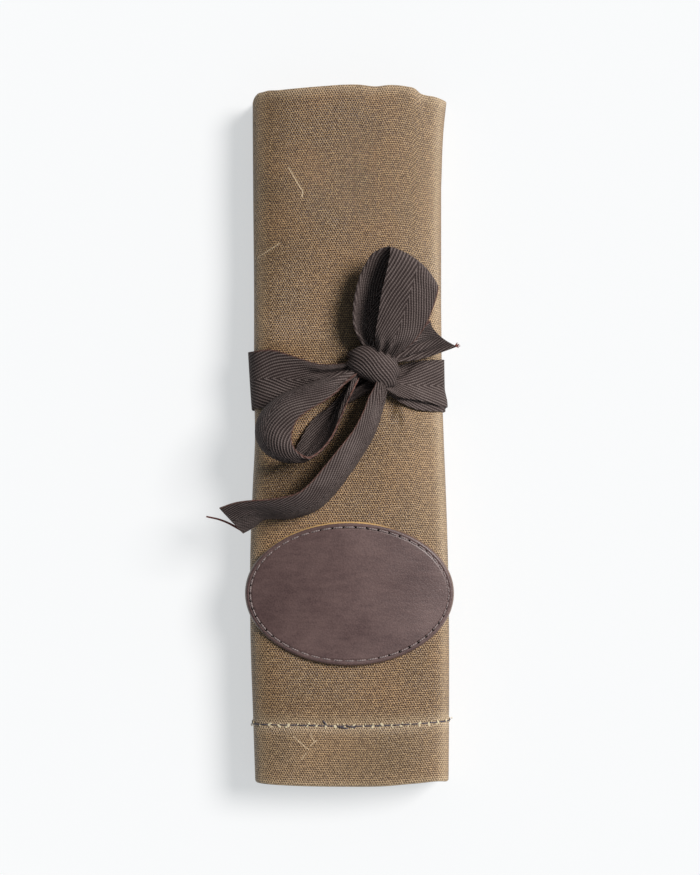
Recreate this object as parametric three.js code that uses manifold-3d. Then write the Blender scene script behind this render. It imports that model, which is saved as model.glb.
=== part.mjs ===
import * as THREE from "three";
import { mergeVertices } from "three/addons/utils/BufferGeometryUtils.js";
import Module from "manifold-3d";

const wasm = await Module();
wasm.setup();

// Canvas utensil roll, rolled up and tied with a tape bow, lying on its back.
// Millimetres. +X is to the right, +Y to the flap end, +Z up. The origin is on the table.

// The roll
const ROLL_LENGTH = 268;
const ROLL_WIDTH = 75;
const SIDE_HEIGHT = 21.5;
const CROWN = 2.5;
const CANVAS = 1.2;
const LINING = 1.0;
const CLEARANCE = 0.3;
const HEM_DEPTH = 23;
const TOP_FOLD_DEPTH = 30;
const STITCH_WIDTH = 0.8;
const STITCH_HEIGHT = 0.5;
const EDGE_STITCH_INSET = 4;

// The pockets and the leaves that fold over them
const POCKET_COUNT = 3;
const POCKET_HEIGHT = 8.5;
const POCKET_SEAM = 3;
const POCKET_SLANT = 1;
const MOUTH_DROP = 37;
const LEAF_WIDTH = 48;
const LEAF_DROP = 64;
const FLAP_DEPTH = 42;
const FLAP_TAPER = 14;
const FLAP_HINGE_HEIGHT = 1.9;
const FLAP_LIFT = 0.8;
const FLAP_TIP_HEIGHT = 14.2;

// The leather patch
const PATCH_WIDTH = 80.6;
const PATCH_HEIGHT = 55.4;
const PATCH_THICKNESS = 2.4;
const PATCH_CENTRE_X = -0.6;
const PATCH_CENTRE_Y = -60.6;
const PATCH_STITCH_INSET = 2.2;
const PATCH_BEND = 2;

// The tie
const TAPE_WIDTH = 22;
const TAPE_THICKNESS = 1.0;
const TAPE_Y = 20.4;
const GROOVE_DEPTH = 1.6;
const LEFT_STANDOFF = 0.9;
const KNOT_X = 8.1;
const KNOT_Y = 26.6;
const KNOT_LENGTH = 20.4;
const KNOT_WIDTH = 17;
const KNOT_HEIGHT = 12.4;
const KNOT_TURN = -35;
const UPPER_LIFT = { axis: [1, 0], angle: 20 };
const LOWER_LIFT = { axis: [-0.565, 0.825], angle: 16 };
const TAIL_LIFT = { axis: [-0.926, 0.378], angle: 16 };

// Sizes that follow from those above
const HALF_LENGTH = ROLL_LENGTH / 2;
const HALF_WIDTH = ROLL_WIDTH / 2;
const BACK_TOP = 2 * CANVAS;
const INNER_LEFT = -HALF_WIDTH + CANVAS + 2 * CLEARANCE;
const POCKET_FOOT = BACK_TOP + CLEARANCE;
const POCKET_TOP = POCKET_FOOT + POCKET_HEIGHT;
const POCKET_LEFT = INNER_LEFT + CANVAS + 2 * CLEARANCE;
const POCKET_RIGHT = HALF_WIDTH - CANVAS - 2 * CLEARANCE;
const POCKET_MOUTH = HALF_LENGTH - MOUTH_DROP;
const HEM_TOP = -HALF_LENGTH + HEM_DEPTH;
const LEAF_BOTTOM = POCKET_TOP + 2 * CLEARANCE;
const LEAF_TOP = LEAF_BOTTOM + CANVAS;
const LEAF_RIGHT = INNER_LEFT + LEAF_WIDTH;
const FRONT_EDGE_BOTTOM = SIDE_HEIGHT - CANVAS;
const PLY_DROP = CANVAS + CLEARANCE;
const KNOT_Z = SIDE_HEIGHT + CROWN + CLEARANCE + KNOT_HEIGHT / 2;

// Height of the front's outer face: a shallow crown between the two side folds.
function frontHeight(x) {
  return SIDE_HEIGHT + CROWN * (1 - (x / HALF_WIDTH) ** 2);
}

function shapeOf(points) {
  return new THREE.Shape(points.map(([u, v]) => new THREE.Vector2(u, v)));
}

// An outline drawn in X and Y, from one height to another.
function alongZ(points, z0, z1) {
  const geometry = new THREE.ExtrudeGeometry(shapeOf(points), { depth: z1 - z0, bevelEnabled: false });
  return geometry.translate(0, 0, z0);
}

// A section drawn in X and Z, carried along Y.
function alongY(points, y0, y1) {
  const geometry = new THREE.ExtrudeGeometry(shapeOf(points), { depth: y1 - y0, bevelEnabled: false });
  return geometry.rotateX(Math.PI / 2).translate(0, y1, 0);
}

// A section drawn in Y and Z, carried along X.
function alongX(points, x0, x1) {
  const geometry = new THREE.ExtrudeGeometry(shapeOf(points), { depth: x1 - x0, bevelEnabled: false });
  const turn = new THREE.Matrix4().set(0, 0, 1, x0, 1, 0, 0, 0, 0, 1, 0, 0, 0, 0, 0, 1);
  return geometry.applyMatrix4(turn);
}

function block(x0, x1, y0, y1, z0, z1) {
  const geometry = new THREE.BoxGeometry(x1 - x0, y1 - y0, z1 - z0);
  return geometry.translate((x0 + x1) / 2, (y0 + y1) / 2, (z0 + z1) / 2);
}

// A ply that follows the crowned front, from one depth below its outer face to another.
function crownedPly(x0, x1, y0, y1, upper, lower) {
  const steps = 12;
  const xs = Array.from({ length: steps + 1 }, (_, i) => x0 + ((x1 - x0) * i) / steps);
  const under = xs.map((x) => [x, frontHeight(x) - lower]);
  const over = xs.map((x) => [x, frontHeight(x) - upper]).reverse();
  return alongY([...under, ...over], y0, y1);
}

function toSolid(geometry) {
  const bare = new THREE.BufferGeometry();
  const plain = geometry.index ? geometry.toNonIndexed() : geometry;
  bare.setAttribute("position", plain.getAttribute("position"));
  const merged = mergeVertices(bare, 1e-4);
  const mesh = new wasm.Mesh({
    numProp: 3,
    vertProperties: new Float32Array(merged.attributes.position.array),
    triVerts: new Uint32Array(merged.index.array),
  });
  return new wasm.Manifold(mesh);
}

function toGeometry(solid) {
  const mesh = solid.getMesh();
  const geometry = new THREE.BufferGeometry();
  geometry.setAttribute("position", new THREE.BufferAttribute(new Float32Array(mesh.vertProperties), 3));
  geometry.setIndex(new THREE.BufferAttribute(new Uint32Array(mesh.triVerts), 1));
  geometry.computeVertexNormals();
  return geometry;
}

function cutAway(geometry, cutters) {
  return toGeometry(cutters.reduce((left, cutter) => left.subtract(toSolid(cutter)), toSolid(geometry)));
}

// Value between the stations of a tape at t from 0 to 1.
function between(values, t) {
  const place = t * (values.length - 1);
  const i = Math.min(Math.floor(place), values.length - 2);
  return THREE.MathUtils.lerp(values[i], values[i + 1], THREE.MathUtils.smoothstep(place - i, 0, 1));
}

// A length of tape through stations [x, y, z, lean in degrees, gather].
// Lean 0 lies flat and 90 stands on edge; gather is the share of the width left where it is bunched.
// The cut is the slant of the free end.
function tape(stations, steps, cut) {
  const path = new THREE.CatmullRomCurve3(stations.map(([x, y, z]) => new THREE.Vector3(x, y, z)));
  const leans = stations.map((s) => THREE.MathUtils.degToRad(s[3]));
  const gathers = stations.map((s) => s[4]);
  const corners = [];
  const edge = (share, across, above) => {
    const t = (share * (1 + cut * across)) / (1 + Math.abs(cut));
    const along = path.getTangent(t);
    const flat = new THREE.Vector3(-along.y, along.x, 0).normalize();
    const rise = new THREE.Vector3().crossVectors(along, flat);
    const lean = between(leans, t);
    const side = flat.multiplyScalar(Math.cos(lean)).addScaledVector(rise, Math.sin(lean));
    const normal = new THREE.Vector3().crossVectors(along, side);
    const gather = between(gathers, t);
    const half = (TAPE_WIDTH / 2) * gather;
    const thick = TAPE_THICKNESS * (1 + 0.6 * (1 / gather - 1));
    const point = path.getPoint(t).addScaledVector(side, across * half);
    return point.addScaledVector(normal, (above * thick) / 2);
  };
  for (let i = 0; i <= steps; i += 1) {
    const share = i / steps;
    corners.push(edge(share, 1, 1), edge(share, -1, 1), edge(share, -1, -1), edge(share, 1, -1));
  }
  const faces = [0, 3, 2, 0, 2, 1];
  for (let i = 0; i < steps; i += 1) {
    for (let k = 0; k < 4; k += 1) {
      const a = 4 * i + k;
      const b = 4 * i + ((k + 1) % 4);
      faces.push(a, b, b + 4, a, b + 4, a + 4);
    }
  }
  const last = 4 * steps;
  faces.push(last, last + 1, last + 2, last, last + 2, last + 3);
  const geometry = new THREE.BufferGeometry().setFromPoints(corners);
  geometry.setIndex(faces);
  return geometry;
}

function knotBall(extra) {
  const ball = new THREE.SphereGeometry(1, 20, 12);
  ball.scale(KNOT_LENGTH / 2 + extra, KNOT_WIDTH / 2 + extra, KNOT_HEIGHT / 2 + extra);
  ball.rotateZ(THREE.MathUtils.degToRad(KNOT_TURN));
  return ball.translate(KNOT_X, KNOT_Y, KNOT_Z);
}

// A tape that runs into the knot stops at its skin.
function tapeToKnot(stations, steps) {
  return cutAway(tape(stations, steps, 0), [knotBall(CLEARANCE)]);
}

// The knot as a tape that lifts by its hinge meets it, at one share of the way up.
function knotSeenFrom(lift, share) {
  const axis = new THREE.Vector3(lift.axis[0], lift.axis[1], 0).normalize();
  const back = -THREE.MathUtils.degToRad(lift.angle) * share;
  const turn = new THREE.Matrix4().makeRotationAxis(axis, back);
  const ball = knotBall(CLEARANCE).translate(-KNOT_X, -KNOT_Y, -KNOT_Z);
  return ball.applyMatrix4(turn).translate(KNOT_X, KNOT_Y, KNOT_Z);
}

// A tape that lifts at the knot stays clear of its skin all the way up.
function liftingTape(stations, steps, lift, cut = 0) {
  const balls = [0, 0.5, 1].map((share) => toSolid(knotSeenFrom(lift, share)));
  return cutAway(tape(stations, steps, cut), [toGeometry(wasm.Manifold.hull(balls))]);
}

function onFront(x, lift) {
  return frontHeight(x) + CLEARANCE + TAPE_THICKNESS / 2 + lift;
}

// Bends a flat piece to the patch's curve across the roll.
function bendToPatch(geometry) {
  const place = geometry.getAttribute("position");
  for (let i = 0; i < place.count; i += 1) {
    const x = place.getX(i);
    place.setZ(i, place.getZ(i) - PATCH_BEND * (x / HALF_WIDTH) ** 2);
  }
  return geometry;
}

function oval(inset, steps = 64) {
  const a = PATCH_WIDTH / 2 - inset;
  const b = PATCH_HEIGHT / 2 - inset;
  return Array.from({ length: steps }, (_, i) => {
    const turn = (2 * Math.PI * i) / steps;
    return [PATCH_CENTRE_X + a * Math.cos(turn), PATCH_CENTRE_Y + b * Math.sin(turn)];
  });
}

// The oval in strips across its width, so that its faces can follow the bend.
function ovalPlate(inset, z0, z1) {
  const outline = shapeOf(oval(inset));
  const solid = toSolid(alongZ(outline.getPoints().map((p) => [p.x, p.y]), z0, z1));
  return bendToPatch(toGeometry(solid.refineToLength(9)));
}

const canvas = { color: 0x84694c, roughness: 0.88, metalness: 0 };
const lining = { color: 0x8c7255, roughness: 0.9, metalness: 0 };
const twill = { color: 0x4b4342, roughness: 0.85, metalness: 0 };
const leather = { color: 0x5c4743, roughness: 0.5, metalness: 0 };
const thread = { color: 0x4a4550, roughness: 0.7, metalness: 0 };

const roll = new THREE.Group();
roll.name = "utensil_roll";

function add(name, geometry, finish) {
  const mesh = new THREE.Mesh(geometry, new THREE.MeshStandardMaterial(finish));
  mesh.name = name;
  roll.add(mesh);
}

// Back: two plies of canvas, pressed in where the tape crosses under it.
const grooveHalf = TAPE_WIDTH / 2 + 2 * CLEARANCE;
const backSection = [
  [-HALF_LENGTH, 0],
  [TAPE_Y - grooveHalf, 0],
  [TAPE_Y - grooveHalf, GROOVE_DEPTH],
  [TAPE_Y + grooveHalf, GROOVE_DEPTH],
  [TAPE_Y + grooveHalf, 0],
  [HALF_LENGTH, 0],
  [HALF_LENGTH, BACK_TOP],
  [-HALF_LENGTH, BACK_TOP],
];
add("back_panel", alongX(backSection, INNER_LEFT, HALF_WIDTH), canvas);

const hemUnder = BACK_TOP + CLEARANCE;
const hemOver = hemUnder + CANVAS;
add("back_hem", block(POCKET_LEFT, POCKET_RIGHT, -HALF_LENGTH, HEM_TOP, hemUnder, hemOver), canvas);
const backStitchY = HEM_TOP - 2 * STITCH_WIDTH;
const backStitchZ = hemOver + CLEARANCE;
add(
  "back_hem_stitch",
  block(
    POCKET_LEFT + 1,
    POCKET_RIGHT - 1,
    backStitchY,
    backStitchY + STITCH_WIDTH,
    backStitchZ,
    backStitchZ + STITCH_HEIGHT,
  ),
  thread,
);

// Pockets: one sheet sewn down between three channels, closed at the hem and open to the flap.
const pocketPitch = (POCKET_RIGHT - POCKET_LEFT) / POCKET_COUNT;
const pocketFloor = POCKET_FOOT + LINING;
const pocketBottom = HEM_TOP + CLEARANCE;
const ridges = [];
const channels = [];
for (let i = POCKET_COUNT - 1; i >= 0; i -= 1) {
  const left = POCKET_LEFT + i * pocketPitch + POCKET_SEAM / 2;
  const right = left + pocketPitch - POCKET_SEAM;
  ridges.push([right, pocketFloor]);
  ridges.push([right - POCKET_SLANT, POCKET_TOP]);
  ridges.push([left + POCKET_SLANT, POCKET_TOP]);
  ridges.push([left, pocketFloor]);
  const wall = LINING;
  const section = [
    [left + wall, POCKET_FOOT - LINING],
    [right - wall, POCKET_FOOT - LINING],
    [right - POCKET_SLANT - wall, POCKET_TOP - LINING],
    [left + POCKET_SLANT + wall, POCKET_TOP - LINING],
  ];
  channels.push(alongY(section, pocketBottom + LINING, POCKET_MOUTH + LINING));
}
const pocketSection = [
  [POCKET_LEFT, POCKET_FOOT],
  [POCKET_RIGHT, POCKET_FOOT],
  [POCKET_RIGHT, pocketFloor],
  ...ridges,
  [POCKET_LEFT, pocketFloor],
];
add("pocket_panel", cutAway(alongY(pocketSection, pocketBottom, POCKET_MOUTH), channels), lining);

const seamZ = pocketFloor + CLEARANCE;
const seamNames = ["pocket_seam_left", "pocket_seam_right"];
seamNames.forEach((name, i) => {
  const x = POCKET_LEFT + (i + 1) * pocketPitch - STITCH_WIDTH / 2;
  const seam = block(x, x + STITCH_WIDTH, pocketBottom + 1, POCKET_MOUTH - 1, seamZ, seamZ + STITCH_HEIGHT);
  add(name, seam, thread);
});

// Right side: the wall between the two right-hand folds.
const rightInner = HALF_WIDTH - CANVAS;
const sideTop = FRONT_EDGE_BOTTOM - CLEARANCE;
add("right_side_panel", block(rightInner, HALF_WIDTH, -HALF_LENGTH, HALF_LENGTH, POCKET_FOOT, sideTop), canvas);

// Front: crowned ply, with its hem and its folded top edge underneath.
add("front_panel", crownedPly(-HALF_WIDTH, HALF_WIDTH, -HALF_LENGTH, HALF_LENGTH, 0, CANVAS), canvas);
const plyLeft = -HALF_WIDTH + CANVAS + CLEARANCE;
const plyRight = rightInner - CLEARANCE;
const plyEnd = HALF_LENGTH - CLEARANCE;
const plyUnder = PLY_DROP + CANVAS;
add("front_hem", crownedPly(plyLeft, plyRight, -plyEnd, HEM_TOP, PLY_DROP, plyUnder), canvas);
const topFoldStart = HALF_LENGTH - TOP_FOLD_DEPTH;
add("front_top_fold", crownedPly(plyLeft, plyRight, topFoldStart, plyEnd, PLY_DROP, plyUnder), canvas);
const stitchOver = -CLEARANCE - STITCH_HEIGHT;
const frontStitch = crownedPly(
  -HALF_WIDTH + 1,
  HALF_WIDTH - 1,
  HEM_TOP - STITCH_WIDTH,
  HEM_TOP,
  stitchOver,
  -CLEARANCE,
);
add("front_hem_stitch", frontStitch, thread);

// Left edge: the free end of the roll, hanging down the left side.
const edgeFoot = 1.5;
const edgeInner = -HALF_WIDTH + CANVAS;
add("left_edge_panel", block(-HALF_WIDTH, edgeInner, -HALF_LENGTH, HALF_LENGTH, edgeFoot, sideTop), canvas);
const edgeStitchX = -HALF_WIDTH - CLEARANCE;
const edgeStitchZ = edgeFoot + EDGE_STITCH_INSET;
add(
  "left_edge_stitch",
  block(
    edgeStitchX - CLEARANCE,
    edgeStitchX,
    -HALF_LENGTH + 1,
    HALF_LENGTH - 1,
    edgeStitchZ,
    edgeStitchZ + STITCH_WIDTH,
  ),
  thread,
);

// Inner end of the roll: a narrow wall on the left and the leaf that covers the pockets.
const leafEnd = HALF_LENGTH - LEAF_DROP;
add(
  "inner_side_panel",
  block(INNER_LEFT, INNER_LEFT + CANVAS, -HALF_LENGTH, leafEnd, POCKET_FOOT, LEAF_BOTTOM - CLEARANCE),
  canvas,
);
add("inner_leaf_panel", block(INNER_LEFT, LEAF_RIGHT, -HALF_LENGTH, leafEnd, LEAF_BOTTOM, LEAF_TOP), canvas);
const leafHemOver = LEAF_BOTTOM - CLEARANCE;
add(
  "inner_leaf_hem",
  block(POCKET_LEFT, LEAF_RIGHT, -HALF_LENGTH, HEM_TOP - CLEARANCE, leafHemOver - CANVAS, leafHemOver),
  canvas,
);
const leafStitchZ = LEAF_TOP + CLEARANCE;
add(
  "inner_leaf_stitch",
  block(
    POCKET_LEFT,
    LEAF_RIGHT - 1,
    backStitchY,
    backStitchY + STITCH_WIDTH,
    leafStitchZ,
    leafStitchZ + STITCH_HEIGHT,
  ),
  thread,
);

// Top flap: hinged on the back's top edge and sloping over the pocket mouths.
const flapLift = FLAP_LIFT + CANVAS;
const flapSlope = Math.asin((FLAP_TIP_HEIGHT - flapLift - FLAP_HINGE_HEIGHT) / FLAP_DEPTH);
const flapOutline = [
  [INNER_LEFT + CANVAS, -CLEARANCE],
  [INNER_LEFT + CANVAS + FLAP_TAPER, -FLAP_DEPTH],
  [HALF_WIDTH - 2 * CANVAS - FLAP_TAPER, -FLAP_DEPTH],
  [HALF_WIDTH - 2 * CANVAS, -CLEARANCE],
];
const flapStitchInset = 4;
const flapStitchLeft = flapOutline[1][0] + 1;
const flapStitchRight = flapOutline[2][0] - 1;
const flapStitchY = -FLAP_DEPTH + flapStitchInset;
const flapStitchZ = flapLift + CLEARANCE;
function placeFlap(geometry) {
  return geometry.rotateX(-flapSlope).translate(0, HALF_LENGTH, FLAP_HINGE_HEIGHT);
}
add("top_flap_panel", placeFlap(alongZ(flapOutline, FLAP_LIFT, flapLift)), canvas);
add(
  "top_flap_stitch",
  placeFlap(
    block(
      flapStitchLeft,
      flapStitchRight,
      flapStitchY,
      flapStitchY + STITCH_WIDTH,
      flapStitchZ,
      flapStitchZ + STITCH_HEIGHT,
    ),
  ),
  thread,
);

// Leather patch on the front, with its line of stitches just inside the edge.
const patchUnder = SIDE_HEIGHT + CROWN + CLEARANCE;
const patchOver = patchUnder + PATCH_THICKNESS;
add("leather_patch", ovalPlate(0, patchUnder, patchOver), leather);
const ringUnder = patchOver + CLEARANCE;
const ringOver = ringUnder + STITCH_HEIGHT;
const ring = toSolid(ovalPlate(PATCH_STITCH_INSET, ringUnder, ringOver));
const ringHole = toSolid(ovalPlate(PATCH_STITCH_INSET + STITCH_WIDTH, ringUnder - 1, ringOver + 1));
add("patch_stitch", toGeometry(ring.subtract(ringHole)), thread);

// The tie around the roll, parted at each fold so that every length keeps to one side of the roll.
const tapeFrom = TAPE_Y - TAPE_WIDTH / 2;
const tapeTo = TAPE_Y + TAPE_WIDTH / 2;
add(
  "tie_back_strap",
  block(INNER_LEFT, HALF_WIDTH, tapeFrom, tapeTo, CLEARANCE, CLEARANCE + TAPE_THICKNESS),
  twill,
);
const rightStrapX = HALF_WIDTH + CLEARANCE;
const strapTop = SIDE_HEIGHT - CLEARANCE;
add(
  "tie_right_side_strap",
  block(rightStrapX, rightStrapX + TAPE_THICKNESS, tapeFrom, tapeTo, CLEARANCE, strapTop),
  twill,
);
const leftStrapX = -HALF_WIDTH - LEFT_STANDOFF;
add(
  "tie_left_side_strap",
  block(leftStrapX - TAPE_THICKNESS, leftStrapX, tapeFrom, tapeTo, edgeFoot - 2 * CLEARANCE, strapTop),
  twill,
);

const leftStrand = [
  [-HALF_WIDTH + CLEARANCE, 21.8, onFront(-HALF_WIDTH, 0), 0, 1],
  [-31, 21.8, onFront(-31, 0), 0, 1],
  [-20, 22.3, onFront(-20, 0.15), 0, 0.85],
  [-10, 23.5, onFront(-10, 0.35), 0, 0.55],
  [-2.3, 25.4, onFront(-2.3, 0.8), 0, 0.42],
  [3, 26.3, onFront(3, 2.4), 0, 0.4],
];
add("tie_left_strand", tapeToKnot(leftStrand, 20), twill);

const rightStrand = [
  [HALF_WIDTH - CLEARANCE, 19.8, onFront(HALF_WIDTH, 0), 0, 0.94],
  [31, 19.8, onFront(31, 0.1), 0, 0.9],
  [24, 20.8, onFront(24, 0.4), 0, 0.7],
  [18, 22, onFront(18, 0.6), 0, 0.46],
  [12, 24.5, onFront(12, 2.4), 0, 0.4],
];
add("tie_right_strand", tapeToKnot(rightStrand, 16), twill);

add("tie_knot", knotBall(0), twill);

const upperLoop = [
  [8.2, 30.5, 31.5, 75, 0.45],
  [6, 37.7, 34.8, 75, 0.7],
  [4.6, 45.4, 36.4, 70, 1],
  [4.6, 53.1, 36.4, 70, 1],
  [7.3, 63.4, 36.2, 80, 1],
  [13.5, 68.9, 35.8, 105, 1],
  [20.5, 65.8, 35.2, 135, 1],
  [23.1, 58.1, 34.8, 155, 1],
  [21.9, 48.5, 34.5, 160, 1],
  [18.9, 39.3, 34, 160, 0.8],
  [14.2, 33, 33.2, 155, 0.5],
  [11.4, 29.6, 32, 150, 0.42],
];
add("upper_loop", liftingTape(upperLoop, 44, UPPER_LIFT), twill);

const shortTail = [
  [10.5, 28.5, 29.6, 0, 0.4],
  [18.2, 34, 27.4, 0, 0.7],
  [25, 39.4, 25.6, 0, 1],
  [33, 43.4, 25.2, 0, 1],
  [37.6, 45.1, 25.1, 0, 1],
];
add("short_tail", liftingTape(shortTail, 16, UPPER_LIFT, -0.17), twill);

const lowerLoop = [
  [4, 25.8, 31.4, 70, 0.42],
  [-2.3, 21.2, 35.2, 70, 0.75],
  [-10, 17.3, 36.6, 70, 1],
  [-18.5, 13.5, 36, 66, 1],
  [-26.4, 7.7, 33.8, 58, 1],
  [-29.6, 0.8, 32.6, 55, 1],
  [-27, -5, 33.8, 65, 1],
  [-21.6, -7.3, 35.2, 85, 1],
  [-16.2, -4.6, 35.4, 105, 1],
  [-10.8, 1.9, 35, 110, 1],
  [-6.2, 9.6, 35, 110, 1],
  [-2, 15.9, 35, 110, 0.78],
  [2.2, 20.4, 32.8, 105, 0.48],
  [5.6, 23.4, 31, 100, 0.4],
];
add("lower_loop", liftingTape(lowerLoop, 46, LOWER_LIFT), twill);

const longTail = [
  [10, 24, 31, 108, 0.42],
  [11.2, 16.9, 33, 112, 0.54],
  [8, 8, 34, 115, 0.85],
  [2.4, -2, 34.6, 116, 1],
  [-2.8, -9.8, 34.6, 116, 1],
  [-9, -17.8, 34.3, 116, 1],
  [-15.6, -24.2, 33.9, 117, 1],
  [-25.4, -27.8, 33.4, 112, 1],
  [-34.3, -29, 32.9, 115, 1],
  [-40.8, -30.6, 32.4, 124, 1],
  [-46, -32.5, 31.8, 135, 1],
];
add("long_tail", liftingTape(longTail, 34, TAIL_LIFT), twill);

export default roll;
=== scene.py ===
import math

import bpy
import numpy as np
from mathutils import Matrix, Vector


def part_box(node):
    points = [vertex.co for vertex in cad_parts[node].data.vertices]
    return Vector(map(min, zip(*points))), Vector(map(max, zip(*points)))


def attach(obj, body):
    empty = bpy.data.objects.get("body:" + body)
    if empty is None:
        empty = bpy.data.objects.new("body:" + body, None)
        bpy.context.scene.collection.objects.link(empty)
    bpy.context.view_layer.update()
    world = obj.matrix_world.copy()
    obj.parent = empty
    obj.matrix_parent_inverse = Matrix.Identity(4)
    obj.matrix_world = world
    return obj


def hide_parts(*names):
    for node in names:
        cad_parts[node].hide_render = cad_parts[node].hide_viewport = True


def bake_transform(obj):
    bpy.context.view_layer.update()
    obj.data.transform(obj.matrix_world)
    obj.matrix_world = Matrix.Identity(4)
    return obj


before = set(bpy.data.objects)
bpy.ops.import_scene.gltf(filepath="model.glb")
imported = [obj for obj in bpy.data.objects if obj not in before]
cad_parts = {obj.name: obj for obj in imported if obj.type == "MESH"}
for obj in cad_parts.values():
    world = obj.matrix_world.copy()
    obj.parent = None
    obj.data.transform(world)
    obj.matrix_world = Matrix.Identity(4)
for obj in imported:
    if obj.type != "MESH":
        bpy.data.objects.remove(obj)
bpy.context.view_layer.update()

bl_info = {
    "name": "Canvas utensil roll",
    "version": (1, 0, 0),
    "blender": (4, 5, 0),
    "location": "View3D > Sidebar > Roll",
    "description": "Dresses the utensil roll: waxed canvas, leather oval, twill tie and stitching",
    "category": "Object",
}

# Shapes are worked out in millimetres and made in metres. +X is right, +Y the flap end, +Z up.
MM = 0.001

# The roll's plan: distance of each side from the middle along its length, and of each end across it.
RIGHT_SIDE = (
    (-134, 37.9), (-100, 38.1), (-60, 37.9), (-20, 36.8), (0, 36.0), (20, 35.4),
    (45, 35.1), (75, 34.7), (100, 35.2), (120, 36.1), (131, 37.3),
)
LEFT_SIDE = (
    (-134, 37.2), (-110, 38.0), (-75, 39.1), (-45, 39.1), (-20, 38.2), (0, 37.3),
    (15, 37.6), (50, 37.7), (100, 38.1), (131, 38.3),
)
BOTTOM_END = (
    (-38, -134.1), (-36.2, -134.2), (-27, -134.6), (-4, -135.1), (13, -134.9), (24.7, -133.9),
    (36, -133.5), (38, -133.9),
)
TOP_END = (
    (-38.2, 128.6), (-36.8, 131.5), (-33.2, 133.2), (-27.4, 133.5), (-18.7, 134.1), (-10, 134.7),
    (-1.3, 135.2), (2.5, 135.2), (9.6, 134.6), (15, 135.2), (21.5, 134.8), (25.1, 134.0), (27, 132.5),
    (28.9, 132.0), (33.4, 131.4), (37.4, 130.3),
)

# The roll's cross-section: flat in the middle and round at the sides, squarer below than on top.
SECTION_MIDDLE = 12.0
SECTION_HALF_WIDTH = 37.5
SECTION_HALF_HEIGHT = 12.0
TOP_SQUARENESS = 4.6
UNDER_SQUARENESS = 9.0

# The front's cloth ends at this place across, and its free edge goes on to this height on the left side.
EDGE_SEAM_X = -30.75
EDGE_FOOT = 2.2

# Slopes and dents of the front over that section. The tie presses it in, and its sides and ends fall away.
TIE_Y = 20.5
TIE_PRESS = 1.4
TIE_PRESS_HALF = 13.0
# Fall of a side: its depth, and where it starts and how wide it is across the roll. The right side's and the
# upper one grow along the roll between two places.
RIGHT_FALL = (4.0, 4, 34)
RIGHT_FALL_GROWS = (-75, 15)
LEFT_FALL = (0.6, 6, 32)
UPPER_FALL = 3.0
UPPER_FALL_GROWS = (25, 75)
# Sag of an end: its depth, then its middle and half width along the roll.
END_SAGS = ((0.9, -134, 14), (0.7, 134, 16))
# Each swell: its height, and its length along and across the roll. The leather holds the cloth flatter.
LONG_SWELL = (0.35, 17.0, 26.0)
SHORT_SWELL = (0.22, 9.5, 14.0)
LEATHER_HOLD = 0.85
LEATHER_REACH = 32
# The groove at the hem's stitches, and the step to its double cloth: height, and half width or width
HEM_GROOVE = (0.4, 1.3)
HEM_STEP = (0.25, 2.5)
# Each dent: its height, then its middle and half width across the roll, and those along it.
DENTS = (
    # Pucker below the knot
    (-1.1, 15.2, 1.9, 10.5, 5), (1.2, 20.2, 2.6, 9, 5), (-0.6, 18.4, 1.0, 6, 3),
    # Creases where the tie pulls the cloth, on the left and on the right
    (0.5, -30, 9, 37, 5), (-0.35, -26, 12, 46, 5), (0.5, 29, 8, 4, 5), (-0.3, 26, 10, -4, 5),
    # Notches of the top edge
    (0.5, 22.5, 3, 131, 8), (-0.9, 28.5, 2.4, 133, 7), (-0.4, 9.6, 3, 135, 7),
)

# The hem: the line of its stitches across the roll, its doubled stitches and the thread's loose end.
HEM_LINE = ((-39, -111.2), (-20, -111.2), (0, -111.5), (19, -111.0), (39, -109.8))
DOUBLE_STITCHES = (((-5.2, -111.6), (-1.4, -112.4)), ((-1.9, -111.2), (1.6, -112.0)))
THREAD_END = ((-10.8, -109.3), (-9.3, -111.2))
# Height over the cloth of the hem's thread, with its depth at a hole, of a doubled stitch at its ends, with
# the rise of its middle, and of the loose end.
HEM_THREAD_RISE = 0.34
HEM_THREAD_DEPTH = 0.3
DOUBLE_STITCH_RISE = (0.15, 0.5)
THREAD_END_RISE = 0.3

# Needle marks of the hem, a large one at each hole and a small one beside it: half length and its spread,
# half width and its spread. Then the greatest turn, and shifts across and along the roll.
LARGE_MARK = (0.64, 0.3, 0.44, 0.16)
SMALL_MARK = (0.36, 0.16, 0.3, 0.1)
MARK_TURN = 0.9
LARGE_MARK_SHIFT = 0.42
SMALL_MARK_SHIFT = (0.9, 0.75)

# Seams of the leaf's and the back's hem: place along the roll, and where each starts and ends across it.
INNER_HEM_Y = -111.5
LEAF_SEAM = (-31, 11)
BACK_SEAM = (-31, 33)
BACK_SEAM_HEIGHT = 0.35

# Seam of the free edge: its height on the left side, and its reach from the middle to each end.
EDGE_STITCH_HEIGHT = 5.6
EDGE_STITCH_Y = 130.5

# Thickness of needle marks and of the dark discs that are painted shade in punched holes, and their height
# over the thread's line
DISC_WALL = 0.3
MARK_LIFT = 0.42
HOLE_SHADE_LIFT = 0.06

# Paler canvas at the side folds and at the ends: place, share of the paler colour, and half width. At the
# folds it is partly wear and partly painted light: a painted highlight on the right fold, which faces the
# light, and painted light over the shade of the left one.
FOLD_WEAR_AND_LIGHT = ((35.6, 0.45, 2.4), (-36.0, 0.45, 3.5))
END_PALENESS = ((BOTTOM_END, 0.55, 1.6), (TOP_END, 0.55, 2.8))
# That share as a painted highlight toward the right side, which faces the light, setting in between two
# places along the roll; then the wear at the hem's stitches and over the hem, and the most of it all.
PAINTED_RIGHT_HIGHLIGHT = 0.22
PAINTED_RIGHT_HIGHLIGHT_STARTS = (-85, -25)
HEM_LINE_WEAR = 0.6
HEM_WEAR = 0.16
MOST_WEAR_AND_LIGHT = 0.9

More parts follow.
